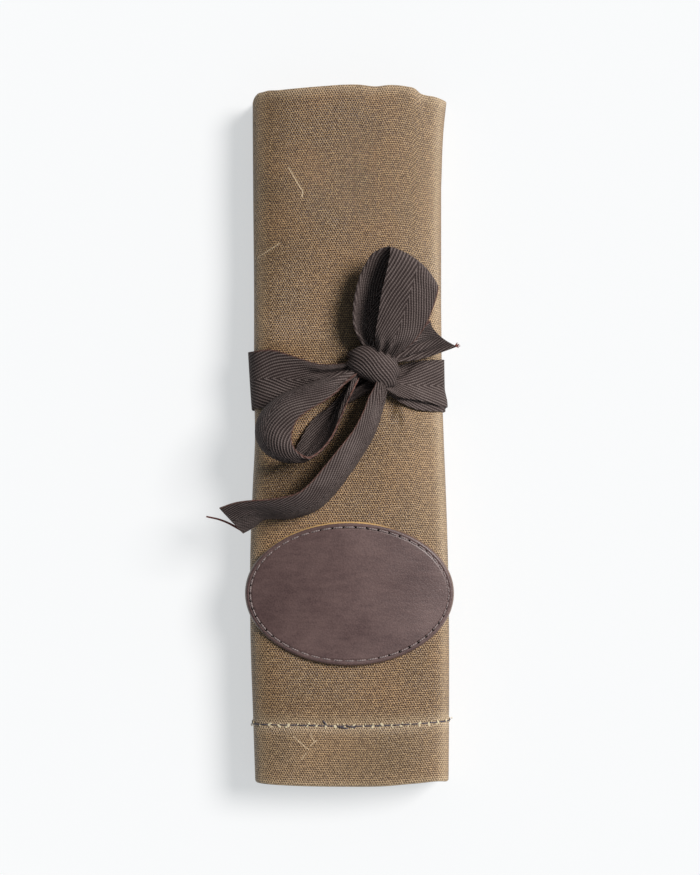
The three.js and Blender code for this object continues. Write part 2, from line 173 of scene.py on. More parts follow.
# Where the cloth bends from one body to the next: the start and the end of each fold.
RIGHT_FOLD = ((35.0, 0, 12.5), (28.5, 0, 20.5))
LEFT_FOLD = ((-31.5, 0, 18.5), (-37.5, 0, 10.0))

# The cloth reaches in at least to these planes, so that its inner face lies on the table in the open roll.
FRONT_INSIDE = 20.8
EDGE_INSIDE = 37.4

# Ends that are turned in: radius of the fold, and gap to the cloth.
FOLD_RADIUS = 0.9
TURNED_GAP = 0.3

# Rows of points between the turned ends of the canvas, and columns round the section
FRONT_ROWS = 177
FRONT_COLUMNS = 96
EDGE_COLUMNS = 44
BACK_ROWS = 106
BACK_COLUMNS = 60

# Edges of a mesh past this angle, in degrees, are shaded sharp.
SHARP_ANGLE = 50

# Tape of the bow: both of its edges at each station (x, y, z, x, y, z), and the rise of its middle.
UPPER_LOOP = (
    (7.3, 30.6, 29, 10.3, 29.8, 28, 0), (3.8, 35.7, 32, 10.7, 34.1, 27, 1.5),
    (1.3, 41.2, 33.6, 12.3, 37.6, 25.6, 2.5), (0.9, 48, 34.2, 15, 42.6, 25.2, 3),
    (1.9, 55.2, 34.2, 18, 47.6, 25.3, 3), (4, 62.4, 34, 20.7, 52.1, 26.5, 2.8),
    (7.9, 68.9, 35.6, 25.6, 55.8, 29.5, 2.6), (13.2, 71.4, 37.2, 31.6, 57.4, 33.2, 2.6),
    (14.7, 70.2, 39.2, 33, 55.9, 36, 2.4), (13.8, 64.1, 40, 32.2, 51.9, 36, 1.8),
    (11.7, 55.1, 39.8, 29.6, 44.6, 35, 1.4), (10.2, 45.7, 38.8, 26.2, 38.7, 34, 1.2),
    (9.2, 39, 37.4, 22.1, 34.2, 33, 1), (9.3, 33.8, 34.6, 17.2, 30.5, 31.4, 0.5),
    (8, 30.1, 30, 13, 27.5, 29.3, 0),
)
SHORT_TAIL = (
    (12.6, 30.6, 30, 13.4, 27.2, 29, 0), (16.4, 32.9, 31.6, 18, 28.4, 28.2, 0.9),
    (20.6, 35.9, 33, 23.4, 29, 27.2, 1.6), (24.2, 39.3, 33.6, 29.6, 30.2, 26.8, 2.0),
    (27.5, 42, 33.2, 35.3, 32.1, 26.8, 1.6), (29.8, 43.9, 32.4, 40.7, 34.2, 27, 0.8),
)
LOWER_LOOP = (
    (5, 25.6, 29.6, 3.4, 27.6, 27, 0), (0.8, 21.8, 33.6, -2.7, 23.7, 27, -1.2),
    (-4.2, 17.6, 36.6, -9.6, 21.3, 26, -2.6), (-10.2, 13.4, 38, -16.5, 18.8, 25.2, -3.6),
    (-16.2, 9.8, 38.2, -24.2, 15.9, 24.8, -4.2), (-20.2, 6.6, 38, -30.9, 11.9, 24.6, -4.5),
    (-22.4, 2.2, 37.8, -35.3, 6.5, 24.8, -4.6), (-22.8, -1.9, 38.6, -36.1, 0, 26.6, -4.4),
    (-21.5, -5, 39.6, -33.2, -5.2, 28.4, -3.6), (-18.9, -7.2, 40.2, -28, -7.7, 29.4, -2.4),
    (-15.8, -7.9, 39.8, -23, -7.6, 28.8, -1.8), (-12.8, -6.4, 38, -20.7, -4.2, 27.2, -2.0),
    (-9.8, -3.6, 36.2, -18.4, 0, 25.8, -2.4), (-6.8, 0.7, 34.6, -15.7, 4.6, 24.7, -2.6),
    (-4.5, 6.6, 34, -11.9, 9, 24.8, -2.4), (-2.3, 12.4, 33.6, -6.9, 12.8, 25.2, -1.4),
    (0, 17.2, 34.8, -2.3, 17.1, 26, -0.4), (2.3, 21.9, 31.6, 1.1, 21.1, 26.6, 0),
    (4.6, 24.8, 29.2, 3.8, 23.8, 26.4, 0),
)
LONG_TAIL = (
    (11.4, 24.8, 30.5, 13.4, 23.7, 28, 0), (9.7, 19.7, 34, 13.2, 18.2, 27.4, 0.8),
    (6.8, 14.3, 36.2, 11.7, 12.8, 26, 2), (3.8, 8.3, 37.2, 10.4, 6.5, 25, 3),
    (0.4, 2.2, 38.6, 7.8, -0.2, 25.4, 3.4), (-4.3, -3.8, 40.6, 4.3, -6.7, 26.6, 3.4),
    (-9.8, -10.6, 42.4, -0.5, -14, 27.6, 3.4), (-15.5, -17.3, 43, -5.9, -21.3, 28, 3.2),
    (-20.7, -21.4, 42.6, -12.8, -28, 28, 2.6), (-28.7, -23.4, 41, -22.3, -31.3, 27.6, 2),
    (-37, -24.3, 38.6, -32.2, -31.7, 27, 1.2), (-43.9, -25.2, 37, -37.2, -34.9, 27, 0.5),
    (-50, -27.3, 35.2, -41.4, -37.2, 26.5, 0),
)
KNOT_WRAP = (
    (3.0, 31.1, 24.6, 2.6, 25.8, 24.4, -3.4), (3.8, 32.6, 27.6, 2.3, 24.6, 27.2, -4.2),
    (5.4, 33.6, 29.8, 3.1, 23.7, 29.2, -4.8), (8.4, 33.4, 30.6, 5.3, 22.7, 30, -5.2),
    (11.8, 32.0, 30.6, 8.0, 21.2, 30, -5.2), (14.3, 30.8, 29.8, 10.1, 20.0, 29.4, -4.8),
    (15.6, 29.4, 28.2, 11.6, 18.9, 27.8, -4.2), (15.7, 27.2, 25.6, 12.7, 18.3, 25.4, -3.4),
)

# Woven edge of a tape, as a share of half its width: where it starts and where it is full.
SELVEDGE = (0.945, 0.985)

# Pleats where tape is gathered: their number and greatest depth, and how much wider the tape is than its span
# where they start and where they are full.
PLEATS = 3
PLEAT_LIMIT = 0.8
PLEAT_FULLNESS = (1.3, 1.9)

# Steps along a length of tape, and its gap to the cloth under it.
TAPE_STEPS = 170
TAPE_GAP = 0.15

# Tape round the roll: place across, y of its middle, share of its width that shows, and lift off the cloth.
RIGHT_BAND = (
    (36.6, 19.5, 0.91, 0), (31, 19.4, 0.89, 0.3), (26, 19.5, 0.83, 0.7), (19, 20.2, 0.62, 1.5),
    (12, 21.8, 0.42, 2.6), (5, 19.5, 0.36, 2.4), (-1, 15.8, 0.3, 1.4),
)
LEFT_BAND = (
    (5, 26, 0.3, 5.0), (-1, 24.3, 0.35, 4.4), (-5.5, 23, 0.41, 3.6), (-12, 21.8, 0.53, 2.4),
    (-17, 21.5, 0.68, 1.6), (-23.5, 21.6, 0.87, 0.8), (-30, 22.1, 1.0, 0.3), (-36.6, 21.5, 1.0, 0.1),
)
# The same with no place across: at the middle of the right side, and at the left end, with its height.
RIGHT_BAND_SIDE = (19.5, 0.91, 0)
LEFT_BAND_END = (20.8, 1.0, 0)
LEFT_BAND_FOOT = 3.4
# The same for the back: in place of that across, a share of the way round the section and a distance past it.
BACK_BAND = ((0.5, 15, 20.5, 1.0, -0.7), (0.75, 0, 20.4, 1.0, -0.7), (1, -9, 19.6, 0.95, -0.3))
# Line of the right band's folded edge: place across the roll, and across the tape from -1 to 1.
RIGHT_BAND_FOLD = ((12, -0.8), (19, -0.77), (26, -0.64), (31, -0.69), (37, -0.86))

# Depth of the right band's dip, rise of its folded edge, and rise of the left band's upper edge
RIGHT_BAND_DIP = 1.8
FOLDED_EDGE_RISE = 2.3
LEFT_BAND_RISE = 1.2

# Frayed threads: the route of the long tail's loose one, the reach of each at the short tail's tip, and the
# radius of each kind at its start and its end.
LOOSE_THREAD = (
    (-41.2, -36.6, 26.6), (-44, -35.0, 26.2), (-47.5, -33.2, 25.8), (-51, -31.9, 26), (-55.5, -30.9, 26.4),
)
FRAY_START = (39.9, 34.5, 27.4)
FRAY = ((1.5, 0.6, 0.4), (1.9, -0.1, 0.1), (1.3, -0.7, -0.2), (0.8, 1.2, 0.3))
LOOSE_RADIUS = (0.52, 0.32)
FRAY_RADIUS = (0.3, 0.16)

# The leather oval
PATCH_CENTRE = (-0.6, -60.6)
PATCH_FOOT = 24.5
PATCH_BEND = 4.0
PATCH_STITCH_INSET = 2.1
GROOVE_DEPTH = 0.3
SADDLE_RISE = 0.14
SADDLE_DEPTH = 0.7

# The back's cloth goes this far past the middle of the underside.
BACK_OVERLAP = 6.0

# The inside: the wall and leaf at the roll's inner end, the pockets and the top flap
INNER_BOTTOM = -133.4
WALL_START = -5.0
WALL_X = -35.6
WALL_RADIUS = 3.2
WALL_FOOT = 4.5
WALL_TOP = 7.0
LEAF_HEIGHT = 13.0
LEAF_EDGE = 12.3
LEAF_TOP = 70.0
BACKING_HEIGHT = 2.3
BACKING_SIDES = (-33.2, 35.2)
BACKING_ENDS = (-131, 130)
BACKING_WALL = 0.9
POCKETS = 3
POCKET_SIDES = (-33.6, 35.4)
POCKET_FOOT = 3.5
POCKET_PUFF = 6.6
POCKET_SEAM_ENDS = (-109, 95.5)
FLAP_FOLD = 131.0
FLAP_RADIUS = 2.05
FLAP_HEIGHT = 4.1
FLAP_SLOPE = 0.22
FLAP_TAPER = 14.0
# The flap's start under the back and its height there, its gap to the sides, and the places along the roll
# between which it is drawn in to the line of the top end.
FLAP_START = 124.0
FLAP_FOOT = 0.05
FLAP_SIDE_GAP = 0.8
FLAP_DRAWN_IN = (70, 120)
# The back ends this far inside the roll's top end, and the gap closes between two distances from the right.
FLAP_CLEAR = 3.5
FLAP_CLEAR_FADES = (22, 8)

# Pale scratches on the front: where they start and end, and their width.
SCRATCHES = (
    ((-24, 103.2), (-18.6, 94.2), 0.42), ((-18.6, 94.2), (-18.9, 92.0), 0.5),
    ((-36.2, 69), (-27.4, 74.3), 0.36), ((-22.1, -115.6), (-16.2, -120.6), 0.42),
    ((-15.6, -114.3), (-14.1, -117.4), 0.36), ((-15.8, -119.2), (-13.2, -117.0), 0.36),
    ((-19.0, -124.5), (-17.4, -122), 0.32),
)

# A direction that no thread runs along
ASKEW = (0.31, 0.17, 0.93)

# Slant of the tape's ribs in degrees, and the length of one turn of a thread's plies
RIB_SLANT = 21.0
PLY_TURN = 0.9

# Finish of each cloth's slot
CLOTH = {"canvas": "waxed_canvas_duck", "pocket_canvas": "cotton_pocket_cloth"}

# The photograph's frame: 875 rows show 336.9 mm at the height of the roll's front.
CAMERA_LENS = 100.0
CAMERA_SENSOR = 36.0
FRAME_HEIGHT = 336.9
FRONT_HEIGHT = 22.0
FRAME_CENTRE = (-0.4, -0.6)

# Studio: a wide sun from the upper right, a sky whose strength is given at its left and right, and a floor of
# white paper that glows a little.
SUN_TOWARD = (0.61, 0.32, 0.72)
SUN_STRENGTH = 3.45
SUN_ANGLE = 25
SUN_SHADE = "#fffaf7"
SKY_SHADE = "#ebf6ff"
SKY_STRENGTH = (0.05, 0.37)
FLOOR_SIZE = 4000.0
PAPER_GLOW = 0.58


def linear(code):
    """An sRGB hex colour as linear red, green, blue and alpha."""
    parts = [int(code[i:i + 2], 16) / 255 for i in (1, 3, 5)]
    return (*[p / 12.92 if p <= 0.04045 else ((p + 0.055) / 1.055) ** 2.4 for p in parts], 1.0)


def metres(fold):
    """A fold's start and end in metres."""
    return [tuple(value * MM for value in place) for place in fold]


def length_of(node, axis):
    """A CAD node's length along an axis, in metres."""
    low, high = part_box(node)
    return high[axis] - low[axis]


def colour(name, description, code):
    """A colour that a user may change."""
    return bpy.props.FloatVectorProperty(
        name=name, description=description, subtype="COLOR", size=4, min=0, max=1, default=linear(code)
    )


def size(name, description, length):
    """A length in metres that a user may change."""
    return bpy.props.FloatProperty(
        name=name, description=description, default=length, min=0.05 * MM, unit="LENGTH", precision=5
    )


class RollSizes(bpy.types.PropertyGroup):
    """Sizes of the cloth, tape, leather and stitches."""

    canvas: size("Canvas", "Thickness of the waxed canvas", 1.2 * MM)
    lining: size("Pocket cloth", "Thickness of the pocket cloth", 1.0 * MM)
    hem: size("Hem", "Depth of the hem turned in at the bottom", 23 * MM)
    top_fold: size("Top fold", "Depth of the fold turned in at the top", 30 * MM)
    weft: size("Weft pitch", "Spacing of the threads that run across the roll", 0.835 * MM)
    warp: size("Warp pitch", "Spacing of the threads that run along the roll", 0.475 * MM)
    tape_width: size("Tape width", "Width of the twill tape", length_of("tie_back_strap", 1))
    tape: size("Tape", "Thickness of the twill tape", 0.9 * MM)
    rib: size("Rib pitch", "Spacing of the twill ribs", 1.14 * MM)
    patch_width: size("Oval width", "Width of the leather oval", length_of("leather_patch", 0))
    patch_height: size("Oval height", "Height of the leather oval", length_of("leather_patch", 1))
    leather: size("Leather", "Thickness of the leather oval", 2.3 * MM)
    thread: size("Thread", "Diameter of the sewing thread", 0.54 * MM)
    saddle_thread: size("Saddle thread", "Diameter of the thread in the leather", 0.68 * MM)
    hem_stitch: size("Hem stitch", "Length of a stitch in the canvas", 3.55 * MM)
    patch_stitch: size("Oval stitch", "Length of a stitch in the leather", 3.75 * MM)


class RollColours(bpy.types.PropertyGroup):
    """Colours of the finishes, as they look under plain light."""

    # Canvas shade and canvas light: the yarn's tones, with painted shade between the threads and a painted
    # highlight on the raised ones
    canvas_dark: colour("Canvas shade", "Canvas between its threads", "#443021")
    canvas: colour("Canvas", "Waxed canvas", "#795e40")
    canvas_light: colour("Canvas light", "Canvas on its raised threads", "#c2a479")
    # Canvas worn: rubbed wax, and also the painted highlight toward the right side and the painted light at
    # the side folds
    canvas_worn_and_lit: colour("Canvas worn", "Canvas where the wax is rubbed off", "#d2ba98")
    # Pocket cloth shade and light: the yarn's tones, with painted shade between the threads and a painted
    # highlight on the raised ones
    lining_dark: colour("Pocket cloth shade", "Pocket cloth between its threads", "#665038")
    lining: colour("Pocket cloth", "Pocket cloth", "#8c7255")
    lining_light: colour("Pocket cloth light", "Pocket cloth on its raised threads", "#bca582")
    # Twill rib, side and groove: the yarn's tones, lighter on the ribs as a painted highlight and darker
    # beside and between them as painted shade
    rib: colour("Twill rib", "Tape on its ribs", "#7c706c")
    rib_side: colour("Twill side", "Tape beside its ribs", "#463a37")
    groove: colour("Twill groove", "Tape between its ribs", "#231817")
    selvedge: colour("Selvedge", "Woven edge of the tape", "#6d463b")
    leather: colour("Leather", "Face of the leather", "#513e3d")
    leather_light: colour("Leather light", "Leather where it is rubbed", "#745d59")
    # Leather edge: the tan of the cut edge, painted bright where it faces the light at the top
    leather_edge_lit: colour("Leather edge", "Cut edge of the leather", "#e4bd80")
    thread: colour("Thread", "Sewing thread", "#4d4750")
    leather_thread: colour("Leather thread", "Thread in the leather", "#827472")
    # Punched hole: dark discs painted as the shade inside the holes
    hole_shade: colour("Punched hole", "Inside of the holes in the leather", "#120d0c")
    needle_mark: colour("Needle mark", "Bare cotton round a needle hole", "#efe0bd")
    loose_thread: colour("Loose thread", "Frayed thread of the tape", "#7d4136")
    floor: colour("Floor", "Pale paper floor", "#fbfdfe")


def through(stations, at):
    """A smooth line through (place, value) stations, read at the places given."""
    places, values = np.array(stations, float).T
    slopes = np.gradient(values, places)
    at = np.clip(np.asarray(at, float), places[0], places[-1])
    i = np.clip(np.searchsorted(places, at) - 1, 0, len(places) - 2)
    gap = places[i + 1] - places[i]
    t = (at - places[i]) / gap
    start = (2 * t**3 - 3 * t**2 + 1) * values[i] + (t**3 - 2 * t**2 + t) * gap * slopes[i]
    return start + (3 * t**2 - 2 * t**3) * values[i + 1] + (t**3 - t**2) * gap * slopes[i + 1]


def eased(value, low, high):
    """0 below low, 1 above high and smooth between them."""
    t = np.clip((np.asarray(value, float) - low) / (high - low), 0, 1)
    return t * t * (3 - 2 * t)


def hump(value, centre, half):
    """A soft hump, 1 at its centre and near 0 past its half width."""
    return np.exp(-(((np.asarray(value, float) - centre) / half) ** 2))


def plateau(value, centre, half):
    """A hump with a flat top and steeper sides."""
    return np.exp(-(((np.asarray(value, float) - centre) / half) ** 4))


def travelled(line):
    """Distance gone at each point of a line."""
    return np.concatenate([[0], np.cumsum(np.linalg.norm(np.diff(line, axis=0), axis=1))])


def unit(vectors):
    """Vectors of length 1."""
    return vectors / np.maximum(np.linalg.norm(vectors, axis=-1, keepdims=True), 1e-12)


def squircle():
    """The section's outline at half width 1 and half height 1, and the distance along it in millimetres.

    It starts at the middle of the right side, goes over the top to the left and back underneath."""
    turn = np.linspace(0, 2 * math.pi, 8001)
    squareness = np.where(np.sin(turn) >= 0, TOP_SQUARENESS, UNDER_SQUARENESS)
    x = np.sign(np.cos(turn)) * np.abs(np.cos(turn)) ** (2 / squareness)
    z = np.sign(np.sin(turn)) * np.abs(np.sin(turn)) ** (2 / squareness)
    return x, z, travelled(np.column_stack([x * SECTION_HALF_WIDTH, z * SECTION_HALF_HEIGHT]))


OUTLINE_X, OUTLINE_Z, OUTLINE_S = squircle()
ROUND = OUTLINE_S[-1]


def along_top(x):
    """Distance along the section of the point of the top at x."""
    top = OUTLINE_Z >= 0
    return np.interp(-np.asarray(x, float) / SECTION_HALF_WIDTH, -OUTLINE_X[top], OUTLINE_S[top])


def along_left(z):
    """Distance along the section of the point of the left side at height z."""
    left = (OUTLINE_X < 0) & (OUTLINE_S > along_top(-30)) & (OUTLINE_S < ROUND * 0.62)
    heights = SECTION_MIDDLE + OUTLINE_Z[left] * SECTION_HALF_HEIGHT
    return np.interp(-np.asarray(z, float), -heights, OUTLINE_S[left])


def hem_line(x):
    """Place along the roll of the hem's stitches."""
    return through(HEM_LINE, x)


def side_fall(x, depth, start, width):
    """How far the front falls toward a side, at a distance from the middle."""
    return depth * np.clip((x - start) / width, 0, 1) ** 2


def ripples(x, y):
    """Height of the front's slopes, swells and dents over its even section."""
    height = -TIE_PRESS * plateau(y, TIE_Y, TIE_PRESS_HALF)
    tall, along, across = LONG_SWELL
    swell = tall * np.sin(y / along + 0.6) * np.cos(x / across)
    tall, along, across = SHORT_SWELL
    swell = swell + tall * np.sin(y / along + x / across)
    height = height + swell * (1 - LEATHER_HOLD * plateau(y, PATCH_CENTRE[1], LEATHER_REACH))
    for sag, along, half in END_SAGS:
        height = height - sag * hump(y, along, half)
    height = height - UPPER_FALL * (x / SECTION_HALF_WIDTH) ** 2 * eased(y, *UPPER_FALL_GROWS)
    height = height - side_fall(x, *RIGHT_FALL) * (0.1 + 0.9 * eased(y, *RIGHT_FALL_GROWS))
    height = height - side_fall(-x, *LEFT_FALL)
    hem = hem_line(x)
    groove, groove_half = HEM_GROOVE
    step, step_width = HEM_STEP
    height = height - groove * hump(y, hem, groove_half) + step * eased(-y, -hem, step_width - hem)
    for dent, across, half_width, along, half_length in DENTS:
        height = height + dent * hump(x, across, half_width) * hump(y, along, half_length)
    return height


def roll_point(s, y):
    """Points of the roll's outer face, at a distance along the section and a place along the roll."""
    s, y = np.broadcast_arrays(np.asarray(s, float) % ROUND, np.asarray(y, float))
    share_x = np.interp(s, OUTLINE_S, OUTLINE_X)
    share_z = np.interp(s, OUTLINE_S, OUTLINE_Z)
    x = np.where(share_x > 0, share_x * through(RIGHT_SIDE, y), share_x * through(LEFT_SIDE, y))
    z = SECTION_MIDDLE + share_z * SECTION_HALF_HEIGHT
    z = z + eased(share_z, -0.3, 1.0) * ripples(x, y)
    z = z + TIE_PRESS * plateau(y, TIE_Y, TIE_PRESS_HALF) * eased(-share_z, 0.5, 0.95)
    return np.stack([x, y, z], axis=-1)


def roll_flat(s):
    """The plain section, with no ripples, at a distance along it."""
    s = np.asarray(s, float) % ROUND
    x = np.interp(s, OUTLINE_S, OUTLINE_X) * SECTION_HALF_WIDTH
    z = np.interp(s, OUTLINE_S, OUTLINE_Z) * SECTION_HALF_HEIGHT
    return np.stack([x, np.zeros_like(x), z], axis=-1)


def roll_outward(s):
    """Direction out of the roll at a distance along its section."""
    ahead = roll_flat(np.asarray(s, float) + 0.05)
    behind = roll_flat(np.asarray(s, float) - 0.05)
    along = unit(ahead - behind)
    return np.stack([along[..., 2], np.zeros_like(along[..., 0]), -along[..., 0]], axis=-1)


def front_height(x, y):
    """Height of the front's outer face."""
    half = np.where(np.asarray(x, float) > 0, through(RIGHT_SIDE, y), through(LEFT_SIDE, y))
    share = np.clip(np.abs(x) / half, 0, 0.985)
    crown = SECTION_HALF_HEIGHT * (1 - share**TOP_SQUARENESS) ** (1 / TOP_SQUARENESS)
    return SECTION_MIDDLE + crown + ripples(x, y)


def new_piece(name, points, faces, material, uv=None, marks=None):
    """A mesh piece from points in millimetres, with a UV in metres and named marks on its points."""
    mesh = bpy.data.meshes.new(name)
    mesh.from_pydata((np.asarray(points, float).reshape(-1, 3) * MM).tolist(), [], faces)
    mesh.update()
    if uv is not None:
        corners = np.empty(len(mesh.loops), dtype=np.int64)
        mesh.loops.foreach_get("vertex_index", corners)
        layer = mesh.uv_layers.new(name="cloth")
        layer.data.foreach_set("uv", (np.asarray(uv, float).reshape(-1, 2) * MM)[corners].ravel())
    for mark, values in (marks or {}).items():
        layer = mesh.attributes.new(mark, "FLOAT", "POINT")
        layer.data.foreach_set("value", np.asarray(values, np.float32).ravel())
    mesh.materials.append(material)
    piece = bpy.data.objects.new(name, mesh)
    bpy.context.collection.objects.link(piece)
    smooth(piece)
    return piece


def smooth(piece):
    """Smooth shading that keeps the sharp edges of a cut."""
    bpy.ops.object.select_all(action="DESELECT")
    piece.select_set(True)
    bpy.context.view_layer.objects.active = piece
    bpy.ops.object.shade_smooth_by_angle(angle=math.radians(SHARP_ANGLE))


def grid_faces(rows, columns, offset, flip):
    """Faces of a grid of points."""
    made = []
    for r in range(rows - 1):
        for c in range(columns - 1):
            a = offset + r * columns + c
            quad = (a, a + 1, a + columns + 1, a + columns)
            made.append(quad[::-1] if flip else quad)
    return made


def thick_sheet(name, face, uv, thickness, material, outward, marks=None):
    """A sheet with a wall: its outer face on the points given, its other face a thickness behind.

    outward is a direction near that of the outer face's normals."""
    rows, columns = face.shape[:2]
    normals = unit(np.cross(np.gradient(face, axis=1), np.gradient(face, axis=0)))
    turned = np.sum(normals * outward) < 0
    if turned:
        normals = -normals
    behind = face - normals * np.broadcast_to(thickness, (rows, columns))[..., None]
    count = rows * columns
    faces = grid_faces(rows, columns, 0, turned) + grid_faces(rows, columns, count, not turned)
    rim = list(range(columns)) + [r * columns + columns - 1 for r in range(1, rows)]
    rim += [(rows - 1) * columns + c for c in range(columns - 2, -1, -1)]
    rim += [r * columns for r in range(rows - 2, 0, -1)]
    for a, b in zip(rim, rim[1:] + rim[:1]):
        wall = (a, a + count, b + count, b)
        faces.append(wall[::-1] if turned else wall)
    doubled = {mark: np.concatenate([np.ravel(v), np.ravel(v)]) for mark, v in (marks or {}).items()}
    doubled["outside"] = np.repeat([1.0, 0.0], count)
    both = np.concatenate([uv.reshape(-1, 2), uv.reshape(-1, 2)])
    points = np.concatenate([face.reshape(-1, 3), behind.reshape(-1, 3)])
    return new_piece(name, points, faces, material, both, doubled)


def thread_line(name, path, radius, material, closed=False, sides=8):
    """A round thread along a path, with a UV of its length and its turn."""
    path = np.asarray(path, float)
    ahead = np.roll(path, -1, axis=0) - np.roll(path, 1, axis=0)
    if not closed:
        ahead[0], ahead[-1] = path[1] - path[0], path[-1] - path[-2]
    ahead = unit(ahead)
    across = unit(np.cross(ahead, ASKEW))
    other = np.cross(ahead, across)
    turn = np.linspace(0, 2 * math.pi, sides, endpoint=False)
    ring = np.cos(turn)[:, None] * across[:, None, :] + np.sin(turn)[:, None] * other[:, None, :]
    points = path[:, None, :] + ring * np.broadcast_to(radius, len(path))[:, None, None]
    uv = np.stack(np.broadcast_arrays(travelled(path)[:, None], turn[None, :]), axis=-1)
    count = len(path)
    faces = []
    for r in range(count if closed else count - 1):
        for c in range(sides):
            a, b = r * sides + c, r * sides + (c + 1) % sides
            n = (r + 1) % count * sides
            faces.append((a, b, n + (c + 1) % sides, n + c))
    if not closed:
        faces.append(tuple(range(sides))[::-1])
        faces.append(tuple((count - 1) * sides + c for c in range(sides)))
    return new_piece(name, points, faces, material, uv)


def sewn(surface, pitch, rise, depth):
    """A sewn thread's path and its needle holes: over the cloth for each stitch, down at each hole.

    surface gives points and outward directions at shares of the seam's length."""
    line, _ = surface(np.linspace(0, 1, 200))
    count = max(1, round(travelled(line)[-1] / pitch))
    steps = 10
    points, outward = surface(np.linspace(0, 1, count * steps + 1))
    up = np.sin(math.pi * ((np.arange(count * steps + 1) % steps) / steps)) ** 0.45
    holes, hole_outward = surface(np.linspace(0, 1, count + 1))
    return points + outward * (-depth + (rise + depth) * up)[:, None], holes, hole_outward


def fill(tree, node, inputs):
    """Puts values or links on a node's inputs."""
    for key, value in inputs.items():
        if isinstance(value, bpy.types.NodeSocket):
            tree.links.new(value, node.inputs[key])
        else:
            node.inputs[key].default_value = value


def add(tree, kind, inputs=None, out=0, **settings):
    """Adds a node with its settings, and values or links on its inputs, and gives one of its outputs."""
    made = tree.nodes.new("ShaderNode" + kind)
    for key, value in settings.items():
        setattr(made, key, value)
    fill(tree, made, inputs or {})
    return made.outputs[out]


def new_material(name):
    """A material with a Principled shader, and its tree and shader."""
    material = bpy.data.materials.new(name)
    material.use_nodes = True
    tree = material.node_tree
    return material, tree, tree.nodes["Principled BSDF"]


def scaled(shade, share):
    """A colour made darker or lighter."""
    return (*[min(1.0, part * share) for part in shade[:3]], 1.0)


def scratch_mask(tree, place, start, end, width):
    """1 on a scratch between two points of the front, given in millimetres, and 0 beside it."""
    run = Vector((end[0] - start[0], end[1] - start[1], 0)) * MM
    origin = (start[0] * MM, start[1] * MM, 0)
    from_start = add(tree, "VectorMath", {0: place, 1: origin}, operation="SUBTRACT")
    along = run / run.length_squared
    dot = add(tree, "VectorMath", {0: from_start, 1: along}, out=1, operation="DOT_PRODUCT")
    share = add(tree, "Clamp", {"Value": dot})
    nearest = add(tree, "VectorMath", {0: tuple(run), "Scale": share}, operation="SCALE")
    off = add(tree, "VectorMath", {0: from_start, 1: nearest}, out=1, operation="DISTANCE")
    fade = {"Value": off, "From Min": 0.0, "From Max": width * MM, "To Min": 1.0, "To Max": 0.0}
    return add(tree, "MapRange", fade, interpolation_type="SMOOTHSTEP")


